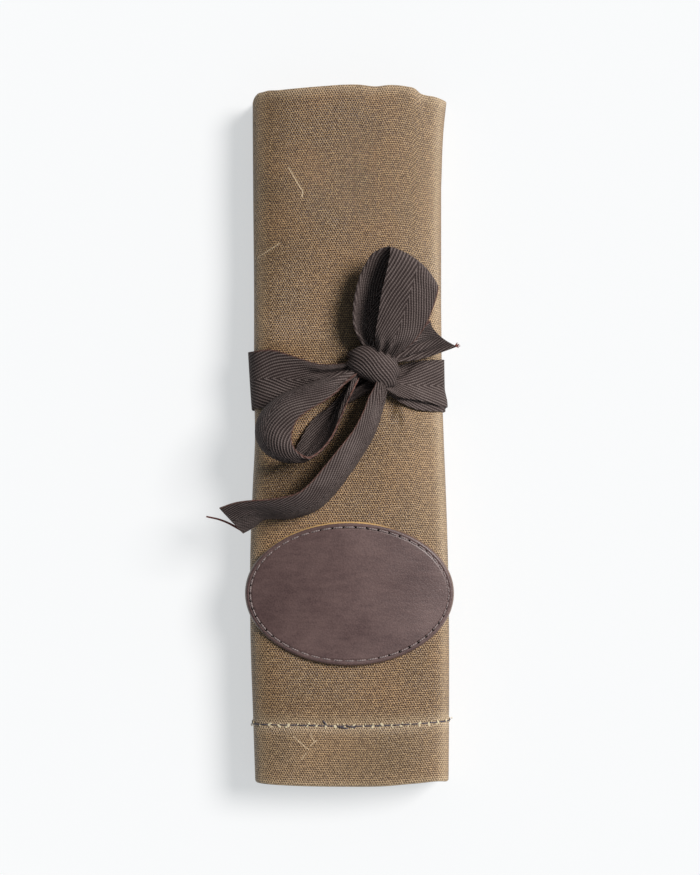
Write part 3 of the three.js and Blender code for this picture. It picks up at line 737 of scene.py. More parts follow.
def canvas_material(name, sizes, dark, middle, light, worn, marked=False):
    """Waxed plain-weave cotton duck: matt threads with a low waxy gloss, darker between the threads as
    painted shade and lighter on the raised ones as a painted highlight, and paler where it is rubbed and
    where light is painted on toward the right side and at the folds.
    """
    material, tree, shader = new_material(name)
    uv = add(tree, "UVMap", uv_map="cloth")
    # Each wave is two threads long, so its two signs are the threads that lie over and under.
    wave = {"Vector": uv, "Distortion": 1.3, "Detail": 2.0, "Detail Scale": 0.12}
    warp = add(tree, "TexWave", {**wave, "Scale": math.pi / 20 / sizes.warp}, out="Fac", bands_direction="X")
    weft = add(tree, "TexWave", {**wave, "Scale": math.pi / 20 / sizes.weft}, out="Fac", bands_direction="Y")
    warp = add(tree, "Math", {0: warp, 1: 2.0, 2: -1.0}, operation="MULTIPLY_ADD")
    weft = add(tree, "Math", {0: weft, 1: 2.0, 2: -1.0}, operation="MULTIPLY_ADD")
    over = add(tree, "Math", {0: warp, 1: weft}, operation="MULTIPLY")
    rows = add(tree, "Math", {0: weft, 1: weft}, operation="MULTIPLY")
    # Thick places of the yarn, drawn out along each thread
    slub = {"Scale": 1.0, "Detail": 2.0}
    across = add(tree, "VectorMath", {0: uv, 1: (1 / (2.5 * MM), 1 / sizes.weft, 1)}, operation="MULTIPLY")
    along = add(tree, "VectorMath", {0: uv, 1: (1 / sizes.warp, 1 / (3.0 * MM), 1)}, operation="MULTIPLY")
    weft_slub = add(tree, "TexNoise", {**slub, "Vector": across}, out="Fac")
    warp_slub = add(tree, "TexNoise", {**slub, "Vector": along}, out="Fac")
    specks = {"Vector": uv, "Scale": 1 / (0.6 * MM), "Detail": 2.0, "Roughness": 0.7}
    fleck = add(tree, "TexNoise", specks, out="Fac")
    blotch = add(tree, "TexNoise", {"Vector": uv, "Scale": 1 / (26 * MM), "Detail": 4.0}, out="Fac")
    tone = -1.16
    shares = (0.48, -0.68, 0.75, 0.5, 2.1, 0.45)
    for part, share in zip((over, rows, weft_slub, warp_slub, fleck, blotch), shares):
        tone = add(tree, "Math", {0: part, 1: share, 2: tone}, operation="MULTIPLY_ADD")
    # The weave's tone goes from dark between the threads to light on the raised ones: the yarn's own shades,
    # with painted shade between the threads and a painted highlight on the raised ones
    base = dark
    for low, high, shade in ((0.0, 0.5, middle), (0.5, 1.0, light)):
        share = add(tree, "MapRange", {"Value": tone, "From Min": low, "From Max": high})
        base = add(tree, "Mix", {"Factor": share, 6: base, 7: shade}, out=2, data_type="RGBA")
    # Uneven dye: redder in the blotches
    dyed = add(tree, "MapRange", {"Value": blotch, "From Min": 0.35, "From Max": 0.62})
    tint = {"Factor": dyed, 6: (1.0, 1.0, 1.0, 1.0), 7: (1.0, 0.92, 0.86, 1.0)}
    dye = add(tree, "Mix", tint, out=2, data_type="RGBA")
    tinted = {"Factor": 1.0, 6: base, 7: dye}
    base = add(tree, "Mix", tinted, out=2, data_type="RGBA", blend_type="MULTIPLY")
    # The paler colour takes to the raised threads, on the outer face alone: rubbed wax, and painted light
    # toward the right side and at the folds
    paling = add(tree, "Attribute", out="Fac", attribute_name="wear_and_light")
    outside = add(tree, "Attribute", out="Fac", attribute_name="outside")
    raised = {"Value": tone, "From Min": 0.2, "From Max": 0.75, "To Min": 0.35, "To Max": 1.0}
    patchy = add(tree, "MapRange", raised)
    share = add(tree, "Math", {0: paling, 1: patchy}, operation="MULTIPLY", use_clamp=True)
    if marked:
        place = add(tree, "TexCoord", out="Object")
        shaken = add(tree, "TexNoise", {"Vector": place, "Scale": 1 / (1.6 * MM), "Detail": 2.0}, out="Fac")
        jitter = add(tree, "Math", {0: shaken, 1: 0.6 * MM, 2: -0.3 * MM}, operation="MULTIPLY_ADD")
        flat = add(tree, "VectorMath", {0: place, 1: (1, 1, 0), 2: jitter}, operation="MULTIPLY_ADD")
        flat = add(tree, "VectorMath", {0: flat, 1: (1, 1, 0)}, operation="MULTIPLY")
        for start, end, width in SCRATCHES:
            mask = scratch_mask(tree, flat, start, end, width)
            share = add(tree, "Math", {0: share, 1: mask}, operation="MAXIMUM")
    share = add(tree, "Math", {0: share, 1: outside}, operation="MULTIPLY")
    mixed = add(tree, "Mix", {"Factor": share, 6: base, 7: worn}, out=2, data_type="RGBA")
    gloss = {"Value": blotch, "From Min": 0.3, "From Max": 0.7, "To Min": 0.38, "To Max": 0.5}
    rough = add(tree, "MapRange", gloss)
    lumps = over
    for part in (fleck, weft_slub):
        lumps = add(tree, "Math", {0: part, 1: 0.9, 2: lumps}, operation="MULTIPLY_ADD")
    bump = add(tree, "Bump", {"Height": lumps, "Strength": 0.6, "Distance": 0.2 * MM})
    fill(tree, shader, {"Base Color": mixed, "Roughness": rough, "Specular IOR Level": 0.55, "Normal": bump})
    return material


def tape_material(name, sizes, colours):
    """Herringbone cotton twill: raised slanting ribs that turn at the middle, painted lighter on the ribs as
    a highlight and darker in the grooves as shade, and a red-brown selvedge.
    """
    material, tree, shader = new_material(name)
    uv = add(tree, "UVMap", uv_map="cloth")
    split = add(tree, "SeparateXYZ", {0: uv}).node.outputs
    mirrored = add(tree, "Math", {0: split[1]}, operation="ABSOLUTE")
    folded = add(tree, "CombineXYZ", {0: split[0], 1: mirrored})
    slant = {"Vector": folded, "Angle": math.radians(RIB_SLANT - 90)}
    turned = add(tree, "VectorRotate", slant, rotation_type="Z_AXIS")
    # Each wave is one rib, or one float of the yarn along it
    wave = {"Vector": turned, "Distortion": 1.1, "Detail": 2.0, "Detail Scale": 0.6}
    ribs = add(tree, "TexWave", {**wave, "Scale": math.pi / 10 / sizes.rib}, out="Fac", bands_direction="X")
    yarn = {**wave, "Scale": math.pi / 10 / (0.9 * MM)}
    floats = add(tree, "TexWave", yarn, out="Fac", bands_direction="Y")
    fibres = {"Vector": uv, "Scale": 1 / (0.6 * MM), "Detail": 2.0, "Roughness": 0.7}
    fuzz = add(tree, "TexNoise", fibres, out="Fac")
    fade = add(tree, "TexNoise", {"Vector": uv, "Scale": 1 / (11 * MM), "Detail": 2.0}, out="Fac")
    tone = -0.2
    for part, share in ((ribs, 0.52), (floats, 0.1), (fuzz, 0.42), (fade, 0.4)):
        tone = add(tree, "Math", {0: part, 1: share, 2: tone}, operation="MULTIPLY_ADD")
    # From the grooves' dark to the ribs' light: the yarn's tones with painted shade in the grooves and a
    # painted highlight on the ribs
    base = colours.groove
    for low, high, shade in ((0.12, 0.5, colours.rib_side), (0.5, 0.92, colours.rib)):
        share = add(tree, "MapRange", {"Value": tone, "From Min": low, "From Max": high})
        base = add(tree, "Mix", {"Factor": share, 6: base, 7: shade}, out=2, data_type="RGBA")
    # The selvedge's red shows in worn stretches
    worn = -0.55
    for part, share in ((fuzz, 1.2), (fade, 1.0)):
        worn = add(tree, "Math", {0: part, 1: share, 2: worn}, operation="MULTIPLY_ADD")
    edge = add(tree, "Attribute", out="Fac", attribute_name="selvedge")
    edge = add(tree, "Math", {0: edge, 1: worn}, operation="MULTIPLY", use_clamp=True)
    mixed = add(tree, "Mix", {"Factor": edge, 6: base, 7: colours.selvedge}, out=2, data_type="RGBA")
    lumps = ribs
    for part, share in ((floats, 0.25), (fuzz, 0.3)):
        lumps = add(tree, "Math", {0: part, 1: share, 2: lumps}, operation="MULTIPLY_ADD")
    bump = add(tree, "Bump", {"Height": lumps, "Strength": 0.85, "Distance": 0.3 * MM})
    fill(tree, shader, {"Base Color": mixed, "Roughness": 0.8, "Specular IOR Level": 0.3, "Normal": bump})
    return material


def leather_material(name, colours):
    """Vegetable-tanned leather, dyed and waxed: satin face, fine pores, rubbed streaks and a tan cut edge,
    which is painted bright where it faces the light.
    """
    material, tree, shader = new_material(name)
    place = add(tree, "TexCoord", out="Object")
    drawn = add(tree, "VectorMath", {0: place, 1: (1 / (7 * MM), 1 / (2 * MM), 1)}, operation="MULTIPLY")
    streaks = add(tree, "TexNoise", {"Vector": drawn, "Scale": 1.0, "Detail": 4.0}, out="Fac")
    cloud = add(tree, "TexNoise", {"Vector": place, "Scale": 1 / (18 * MM), "Detail": 4.0}, out="Fac")
    pores = add(tree, "TexVoronoi", {"Vector": place, "Scale": 1 / (0.7 * MM)}, out="Distance")
    grain = add(tree, "TexNoise", {"Vector": place, "Scale": 1 / (0.6 * MM), "Detail": 3.0}, out="Fac")
    tone = -0.65
    for part, share in ((streaks, 0.6), (cloud, 0.8), (grain, 0.9)):
        tone = add(tree, "Math", {0: part, 1: share, 2: tone}, operation="MULTIPLY_ADD")
    paling = add(tree, "MapRange", {"Value": tone, "From Min": 0.2, "From Max": 0.9})
    shades = {"Factor": paling, 6: colours.leather, 7: colours.leather_light}
    face = add(tree, "Mix", shades, out=2, data_type="RGBA")
    # The cut edge's tan, painted bright where it faces the light
    cut = add(tree, "Attribute", out="Fac", attribute_name="cut_edge")
    mixed = add(tree, "Mix", {"Factor": cut, 6: face, 7: colours.leather_edge_lit}, out=2, data_type="RGBA")
    gloss = {"Value": cloud, "From Min": 0.3, "From Max": 0.7, "To Min": 0.36, "To Max": 0.5}
    rough = add(tree, "MapRange", gloss)
    lumps = grain
    for part, share in ((pores, 0.5), (streaks, 0.8)):
        lumps = add(tree, "Math", {0: part, 1: share, 2: lumps}, operation="MULTIPLY_ADD")
    bump = add(tree, "Bump", {"Height": lumps, "Strength": 0.4, "Distance": 0.12 * MM})
    fill(tree, shader, {"Base Color": mixed, "Roughness": rough, "Normal": bump})
    return material


def thread_material(name, shade):
    """Waxed polyester thread: plies that wind round it, with a low gloss, painted darker between the plies as
    shade and lighter on them as a highlight.
    """
    material, tree, shader = new_material(name)
    uv = add(tree, "UVMap", uv_map="cloth")
    split = add(tree, "SeparateXYZ", {0: uv}).node.outputs
    turn = add(tree, "Math", {0: split[1], 1: 1 / MM}, operation="MULTIPLY")
    winding = {0: split[0], 1: 2 * math.pi / (PLY_TURN * MM), 2: turn}
    wind = add(tree, "Math", winding, operation="MULTIPLY_ADD")
    plies = add(tree, "Math", {0: wind}, operation="SINE")
    fuzz = add(tree, "TexNoise", {"Vector": uv, "Scale": 1 / (0.5 * MM), "Detail": 2.0}, out="Fac")
    tone = add(tree, "Math", {0: plies, 1: 0.25, 2: fuzz}, operation="MULTIPLY_ADD")
    share = add(tree, "MapRange", {"Value": tone, "From Min": 0.15, "From Max": 0.85})
    # Darker and lighter copies of the thread's colour along the plies: painted shade between them and a
    # painted highlight on them
    shades = {"Factor": share, 6: scaled(shade, 0.55), 7: scaled(shade, 1.5)}
    mixed = add(tree, "Mix", shades, out=2, data_type="RGBA")
    bump = add(tree, "Bump", {"Height": plies, "Strength": 0.6, "Distance": 0.08 * MM})
    fill(tree, shader, {"Base Color": mixed, "Roughness": 0.6, "Normal": bump})
    return material


def fibre_material(name, shade):
    """Short broken fibres with no gloss: bare cotton at a needle mark, or painted shade for the dark inside
    of a punched hole.
    """
    material, tree, shader = new_material(name)
    place = add(tree, "TexCoord", out="Object")
    fleck = add(tree, "TexNoise", {"Vector": place, "Scale": 1 / (0.4 * MM), "Detail": 2.0}, out="Fac")
    share = add(tree, "MapRange", {"Value": fleck, "From Min": 0.3, "From Max": 0.7})
    shades = {"Factor": share, 6: scaled(shade, 0.6), 7: tuple(shade)}
    mixed = add(tree, "Mix", shades, out=2, data_type="RGBA")
    fill(tree, shader, {"Base Color": mixed, "Roughness": 0.9, "Specular IOR Level": 0.1})
    return material


def paper_material(name, shade):
    """Matt white background paper: even and pale where it is seen, with the object's soft shadow on it."""
    material, tree, shader = new_material(name)
    fill(tree, shader, {"Base Color": tuple(shade), "Roughness": 0.95, "Specular IOR Level": 0.0})
    shown = add(tree, "LightPath", out="Is Camera Ray")
    rays = shown.node.outputs
    for ray in ("Is Glossy Ray", "Is Transmission Ray"):
        shown = add(tree, "Math", {0: shown, 1: rays[ray]}, operation="MAXIMUM")
    share = add(tree, "Math", {0: shown, 1: PAPER_GLOW}, operation="MULTIPLY")
    glow = add(tree, "Emission", {"Color": tuple(shade), "Strength": 1.0})
    mixed = add(tree, "MixShader", {0: share, 1: shader.outputs[0], 2: glow})
    fill(tree, tree.nodes["Material Output"], {"Surface": mixed})
    return material


def sizes_and_colours():
    """The scene's sizes and colours."""
    return bpy.context.scene.roll_sizes, bpy.context.scene.roll_colours


def finish_named(name):
    """A finish by its name, made the first time that it is asked for."""
    found = bpy.data.materials.get(name)
    if found:
        return found
    sizes, colours = sizes_and_colours()
    if name == "waxed_canvas_duck":
        shades = colours.canvas_dark, colours.canvas, colours.canvas_light, colours.canvas_worn_and_lit
        return canvas_material(name, sizes, *shades, marked=True)
    if name == "cotton_pocket_cloth":
        shades = colours.lining_dark, colours.lining, colours.lining_light, colours.canvas_worn_and_lit
        return canvas_material(name, sizes, *shades)
    if name == "herringbone_twill_tape":
        return tape_material(name, sizes, colours)
    if name == "waxed_leather":
        return leather_material(name, colours)
    if name == "background_paper":
        return paper_material(name, colours.floor)
    threads = {
        "sewing_thread": colours.thread,
        "saddle_thread": colours.leather_thread,
        "frayed_cotton": colours.loose_thread,
    }
    if name in threads:
        return thread_material(name, threads[name])
    return fibre_material(name, {"bare_cotton": colours.needle_mark, "painted_hole_shade": colours.hole_shade}[name])


def end_fold(depth, rows):
    """Rows of an end that is turned in, from the outer face: distance in from the end, and inset."""
    r = FOLD_RADIUS
    arc = [math.pi * k / 6 for k in range(1, 6)]
    turned = [(r - r * math.sin(a), r - r * math.cos(a)) for a in arc]
    return turned + [(d, 2 * r) for d in np.linspace(r, depth, rows)]


def sheet_rows(hem, open_rows, top_fold=None):
    """Rows of a sheet with its bottom turned in, and its top where top_fold is given: end, place and inset.

    The end is -1 at the bottom, 0 between and 1 at the top. Rows between the ends hold their share of the
    length, and end rows their distance in from the end."""
    rows = [(-1, *row) for row in end_fold(hem, 12)[::-1]]
    rows += [(0, share, 0.0) for share in np.linspace(0, 1, open_rows)]
    if top_fold:
        rows += [(1, *row) for row in end_fold(top_fold, 12)]
    return rows


def rolled_sheet(name, s_values, sizes, rows, short=0.0):
    """Canvas on the roll's outer face between distances along its section, with its ends turned in.

    short is how far its top end lies inside the roll's."""
    x_plain = roll_flat(s_values)[:, 0]
    bottom, top = through(BOTTOM_END, x_plain), through(TOP_END, x_plain) - short
    inward = -roll_outward(s_values)
    lines, wear_and_light, plan, wall = [], [], [], []
    gone = 0.0
    for end, place, inset in rows:
        if end == 0:
            y = bottom + FOLD_RADIUS + place * (top - bottom - 2 * FOLD_RADIUS)
        else:
            y = bottom + place if end < 0 else top - place
        line = roll_point(s_values, y)
        depth = np.maximum(line[:, 2] - FRONT_INSIDE, -line[:, 0] - EDGE_INSIDE)
        wall.append(np.maximum(sizes.canvas / MM, depth * (end == 0)))
        if inset >= 2 * FOLD_RADIUS:
            inset = np.maximum(inset, depth + TURNED_GAP)
        line = line + inward * np.reshape(inset, (-1, 1))
        if lines:
            gone += float(np.linalg.norm(line - lines[-1], axis=1).mean())
        lines.append(line)
        plan.append(np.column_stack([s_values, np.full(len(s_values), gone)]))
        wear_and_light.append(canvas_wear_and_light(s_values, y, inset))
    face = np.array(lines)
    canvas = finish_named(CLOTH["canvas"])
    piece = thick_sheet(name, face, np.array(plan), wall, canvas, -inward[None], {"wear_and_light": np.array(wear_and_light)})
    return piece, face


def canvas_wear_and_light(s, y, inset):
    """Share of the paler colour: at the side folds, partly wear and partly painted light; at both ends; along
    the hem's stitches, where it is worn; and toward the right side, where it is a painted highlight.
    """
    x = roll_flat(s)[:, 0]
    hem = hem_line(x)
    wear_and_light = HEM_LINE_WEAR * hump(y, hem + 0.5, 2.6) + HEM_WEAR * eased(-y, -hem, 2 - hem)
    wear_and_light = wear_and_light + PAINTED_RIGHT_HIGHLIGHT * hump(x, SECTION_HALF_WIDTH, 17) * eased(y, *PAINTED_RIGHT_HIGHLIGHT_STARTS)
    for across, share, half in FOLD_WEAR_AND_LIGHT:
        wear_and_light = wear_and_light + share * hump(s, along_top(across), half)
    for end, share, half in END_PALENESS:
        wear_and_light = wear_and_light + share * hump(y, through(end, x), half)
    return np.clip(wear_and_light, 0, MOST_WEAR_AND_LIGHT) * (inset < FOLD_RADIUS * 1.5)


def tape_columns():
    """Places across a tape from edge to edge, closer together at its woven edges."""
    return np.concatenate([[-1, -0.975, -0.94], np.linspace(-0.9, 0.9, 55), [0.94, 0.975, 1]])


def even_stations(stations):
    """The values of tape stations at even distances along the line of its middle, and the distances."""
    table = np.array(stations, float)
    places = np.arange(len(table))
    fine = np.linspace(0, len(table) - 1, 1500)
    line = np.column_stack([through(np.column_stack([places, column]), fine) for column in table.T])
    middle = (line[:, :3] + line[:, 3:6]) / 2
    gone = travelled(middle)
    even = np.linspace(0, gone[-1], TAPE_STEPS + 1)
    return np.column_stack([np.interp(even, gone, column) for column in line.T]), even


def tape_piece(name, face, uv, sizes, outward, red_edge):
    """A length of tape from the points of its face: thinner at its woven edges, one of which is red."""
    v = tape_columns()
    edge = eased(np.abs(v), *SELVEDGE)
    red = np.broadcast_to(eased(v * red_edge, *SELVEDGE), face.shape[:2])
    wall = np.broadcast_to(sizes.tape / MM * (1 - 0.4 * edge), face.shape[:2])
    finish = finish_named("herringbone_twill_tape")
    piece = thick_sheet(name, face, uv, wall, finish, outward, {"selvedge": red})
    return piece


def pleat_depth(span, full):
    """Depth of the pleats that gather a tape to a span, where the tape is that many times wider."""
    even = span / 2 * np.sqrt(2 * (full**2 - 1)) / (PLEATS * math.pi)
    return np.minimum(even, PLEAT_LIMIT) * eased(full, *PLEAT_FULLNESS)


def free_tape(name, stations, sizes, red_edge=-1, reverse=False, one_half=0.0, flat=1.0, cut=0.0):
    """A length of tape between two edge lines: an arc across, gathered in pleats where the edges are close.

    one_half turns its ribs by that angle and shows those of one half only, flat below 1 makes the arc flatter
    on top, and cut is how far the middle of its far end is cut back."""
    line, gone = even_stations(stations)
    chord = line[:, 3:6] - line[:, :3]
    span = np.linalg.norm(chord, axis=1)[:, None]
    side = unit(chord)
    middle = (line[:, :3] + line[:, 3:6]) / 2
    ahead = unit(np.gradient(middle, axis=0))
    normal = unit(np.cross(ahead, side))
    rise = line[:, 6][:, None]
    height = np.maximum(np.abs(rise), 0.02)
    half_turn = 2 * np.arctan(2 * height / span)
    radius = span / (2 * np.sin(half_turn))
    width, thick = sizes.tape_width / MM, sizes.tape / MM
    v = tape_columns()[None, :]
    full = np.clip(width / (2 * radius * half_turn), 1, None)
    depth = pleat_depth(span, full)
    arc = np.clip(radius * (np.cos(half_turn * v) - np.cos(half_turn)) / height, 0, 1)
    bow = np.sign(rise) * height * arc**flat + depth * np.cos(PLEATS * math.pi * v)
    reach = radius * np.sin(half_turn * v)
    face = middle[:, None] + side[:, None] * reach[..., None] + normal[:, None] * (bow + thick / 2)[..., None]
    back = cut * eased(gone, gone[-1] - 5 * cut - 0.1, gone[-1])[:, None] * (1 - v**2)
    face = face - ahead[:, None] * back[..., None]
    u, across = np.broadcast_arrays(gone[:, None] * (-1 if reverse else 1), v * width / 2)
    if one_half:
        turn = math.radians(one_half)
        u, across = (
            u * math.cos(turn) - across * math.sin(turn),
            u * math.sin(turn) + across * math.cos(turn) + 3 * width,
        )
    piece = tape_piece(name, face, np.stack([u, across], axis=-1), sizes, normal[:, None], red_edge)
    return piece


def tape_band(name, stations, sizes, red_edge=-1, reverse=False, folds=None):
    """A length of tape on the roll.

    Stations hold the distance along its section, y, share of width and lift."""
    table = np.array(stations, float)
    s = np.linspace(table[0, 0], table[-1, 0], 150)
    y, share, lift = (through(table[:, (0, k)], s) for k in (1, 2, 3))
    width, thick = sizes.tape_width / MM, sizes.tape / MM
    v = tape_columns()[None, :]
    span = share[:, None] * width
    depth = pleat_depth(span, np.clip(1 / share, 1, None)[:, None])
    raised = lift[:, None] + depth * (1 + np.cos(PLEATS * math.pi * v))
    if folds is not None:
        raised = raised + folds(roll_flat(s)[:, None, 0], v)
    reach = y[:, None] + v * span / 2
    outward = roll_outward(s)[:, None]
    face = roll_point(s[:, None], reach) + outward * (raised + thick + TAPE_GAP)[..., None]
    gone = travelled(face[:, v.size // 2])
    u, across = np.broadcast_arrays(gone[:, None] * (-1 if reverse else 1), v * width / 2)
    piece = tape_piece(name, face, np.stack([u, across], axis=-1), sizes, outward, red_edge)
    return piece


def section_sheet(name, line, y_rows, thickness, slot, outward):
    """A sheet with the same section all along: the section's (x, z) line, and its rows' y and inset."""
    line = np.array(line, float)
    ahead = unit(np.gradient(line, axis=0))
    inward = np.column_stack([ahead[:, 1], -ahead[:, 0]])
    if np.sum(inward @ np.array(outward)) > 0:
        inward = -inward
    face, plan = [], []
    for y, inset in y_rows:
        moved = line + inward * inset
        face.append(np.column_stack([moved[:, 0], np.full(len(line), y), moved[:, 1]]))
        plan.append(np.column_stack([travelled(line), np.full(len(line), y)]))
    away = np.column_stack([-inward[:, 0], np.zeros(len(line)), -inward[:, 1]])[None]
    face = np.array(face)
    piece = thick_sheet(name, face, np.array(plan), thickness, finish_named(CLOTH[slot]), away)
    return piece, face


def corner(x, z, radius, start, end):
    """Points of a rounded fold in a section, about a centre, between two directions in degrees."""
    turns = np.radians(np.linspace(start, end, 9))
    return [(x + radius * math.cos(t), z + radius * math.sin(t)) for t in turns]


def hemmed_rows(hem):
    """Rows of the inner wall and leaf along y, with a hem turned in at the low end: place and inset."""
    rows = [(INNER_BOTTOM + d, inset) for d, inset in end_fold(hem, 8)[::-1]]
    return rows + [(y, 0.0) for y in np.linspace(INNER_BOTTOM + FOLD_RADIUS, LEAF_TOP, 67)]


def canvas_thread(name, path):
    """A length of the canvas's sewing thread along a path."""
    sizes, _ = sizes_and_colours()
    thread = thread_line(name, path, sizes.thread / MM / 2, finish_named("sewing_thread"))
    return thread


def seam(name, surface, rise=0.28, depth=0.5):
    """A row of stitches in the canvas along a surface line, with its needle holes and their directions."""
    sizes, _ = sizes_and_colours()
    path, holes, outward = sewn(surface, sizes.hem_stitch / MM, rise, depth)
    return canvas_thread(name, path), holes, outward


def straight(start, end, outward):
    """A straight line for a seam, with its outward direction."""
    start, end = np.array(start, float), np.array(end, float)

    def surface(share):
        """Points and directions at shares of the line."""
        share = np.asarray(share, float)[:, None]
        return start + (end - start) * share, np.broadcast_to(np.array(outward, float), (len(share), 3))

    return surface


def discs(name, centres, outward, shapes, material, lift):
    """Small flat ovals on a surface, with eight corners each.

    Each shape holds half its length, half its width and its turn."""
    points, faces = [], []
    turns = 2 * math.pi * np.arange(8) / 8
    for centre, out, (long, wide, turn) in zip(centres, outward, shapes):
        first = unit(np.cross((1.0, 0.0, 0.0), out))
        other = np.cross(out, first)
        start = len(points)
        a, b = long * np.cos(turns), wide * np.sin(turns)
        c = a * math.cos(turn) - b * math.sin(turn)
        d = a * math.sin(turn) + b * math.cos(turn)
        top = centre + np.outer(c, first) + np.outer(d, other) + out * lift
        points += [*top, *(top - out * DISC_WALL)]
        ring = [start + k for k in range(8)]
        faces += [tuple(ring), tuple(k + 8 for k in ring[::-1])]
        faces += [(k, k + 8, n + 8, n) for k, n in zip(ring, ring[1:] + ring[:1])]
    return new_piece(name, points, faces, material)


class ROLL_OT_stage(bpy.types.Operator):
    """Pale floor, soft light from the upper right and a camera straight above"""

    bl_idname = "roll.stage"
    bl_label = "Stage"

    def execute(self, context):
        bpy.ops.mesh.primitive_plane_add(size=FLOOR_SIZE * MM, location=(0, 0, 0))
        floor = context.object
        floor.name = "floor"
        floor.data.materials.append(finish_named("background_paper"))
        world = context.scene.world or bpy.data.worlds.new("studio")
        context.scene.world = world
        world.use_nodes = True
        tree = world.node_tree
        way = add(tree, "TexCoord", out="Generated")
        rightward = add(tree, "SeparateXYZ", {0: way})
        low, high = SKY_STRENGTH
        level = {"Value": rightward, "From Min": -1.0, "From Max": 1.0, "To Min": low, "To Max": high}
        strength = add(tree, "MapRange", level)
        fill(tree, tree.nodes["Background"], {"Color": linear(SKY_SHADE), "Strength": strength})
        bpy.ops.object.light_add(type="SUN", location=SUN_TOWARD)
        sun = context.object
        sun.name = "key_light"
        sun.data.color = linear(SUN_SHADE)[:3]
        sun.data.energy = SUN_STRENGTH
        sun.data.angle = math.radians(SUN_ANGLE)
        sun.rotation_euler = Vector(SUN_TOWARD).to_track_quat("Z", "Y").to_euler()
        height = FRONT_HEIGHT + FRAME_HEIGHT * CAMERA_LENS / CAMERA_SENSOR
        bpy.ops.object.camera_add(location=Vector((*FRAME_CENTRE, height)) * MM, rotation=(0, 0, 0))
        camera = context.object
        camera.data.lens = CAMERA_LENS
        camera.data.sensor_width = CAMERA_SENSOR
        camera.data.clip_end = 20
        context.scene.camera = camera
        context.scene.view_settings.view_transform = "Standard"
        return {"FINISHED"}


class ROLL_OT_front(bpy.types.Operator):
    """Front canvas with its right side, and its free edge on the left"""

    bl_idname = "roll.front"
    bl_label = "Front canvas"

    def execute(self, context):
        sizes, _ = sizes_and_colours()
        rows = sheet_rows(sizes.hem / MM, FRONT_ROWS, sizes.top_fold / MM)
        split, foot = along_top(EDGE_SEAM_X), along_left(EDGE_FOOT)
        around = np.linspace(0, split, FRONT_COLUMNS)
        front, face = rolled_sheet("canvas_front", around, sizes, rows)
        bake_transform(front)
        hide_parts("front_panel", "front_hem", "front_top_fold")
        around = np.linspace(split, foot, EDGE_COLUMNS)
        edge, face = rolled_sheet("canvas_free_edge", around, sizes, rows)
        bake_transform(edge)
        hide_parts("left_edge_panel")
        return {"FINISHED"}


class ROLL_OT_back(bpy.types.Operator):
    """Back canvas with the lower half of the right side, and the inner wall on the left"""

    bl_idname = "roll.back"
    bl_label = "Back canvas"

    def execute(self, context):
        sizes, _ = sizes_and_colours()
        thick = sizes.canvas / MM
        around = np.linspace(ROUND * 0.75 - BACK_OVERLAP, ROUND, BACK_COLUMNS)
        start, end = FLAP_CLEAR_FADES
        short = FLAP_CLEAR * (1 - eased(around, ROUND - start, ROUND - end))
        rows = sheet_rows(sizes.hem / MM, BACK_ROWS)
        back, face = rolled_sheet("canvas_back", around, sizes, rows, short)
        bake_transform(back)
        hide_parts("back_panel", "back_hem", "right_side_panel")
        fold = WALL_X + WALL_RADIUS
        flat = [(x, 0.0) for x in np.linspace(WALL_START, fold, 12)]
        turned = corner(fold, WALL_RADIUS, WALL_RADIUS, -97, -180)
        line = flat + turned[1:] + [(WALL_X, z) for z in (WALL_FOOT, 5.6, WALL_TOP)]
        outward = (-0.7, -0.7)
        hemmed = hemmed_rows(sizes.hem / MM)
        wall, face = section_sheet("canvas_inner_wall", line, hemmed, thick, "canvas", outward)
        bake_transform(wall)
        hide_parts("inner_side_panel")
        plain = [(y, 0.0) for y in np.linspace(LEAF_TOP + 0.4, FLAP_FOLD - 1.5, 24)]
        beside, face = section_sheet("canvas_back_corner", line[:-1], plain, thick, "canvas", outward)
        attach(beside, "back")
        return {"FINISHED"}


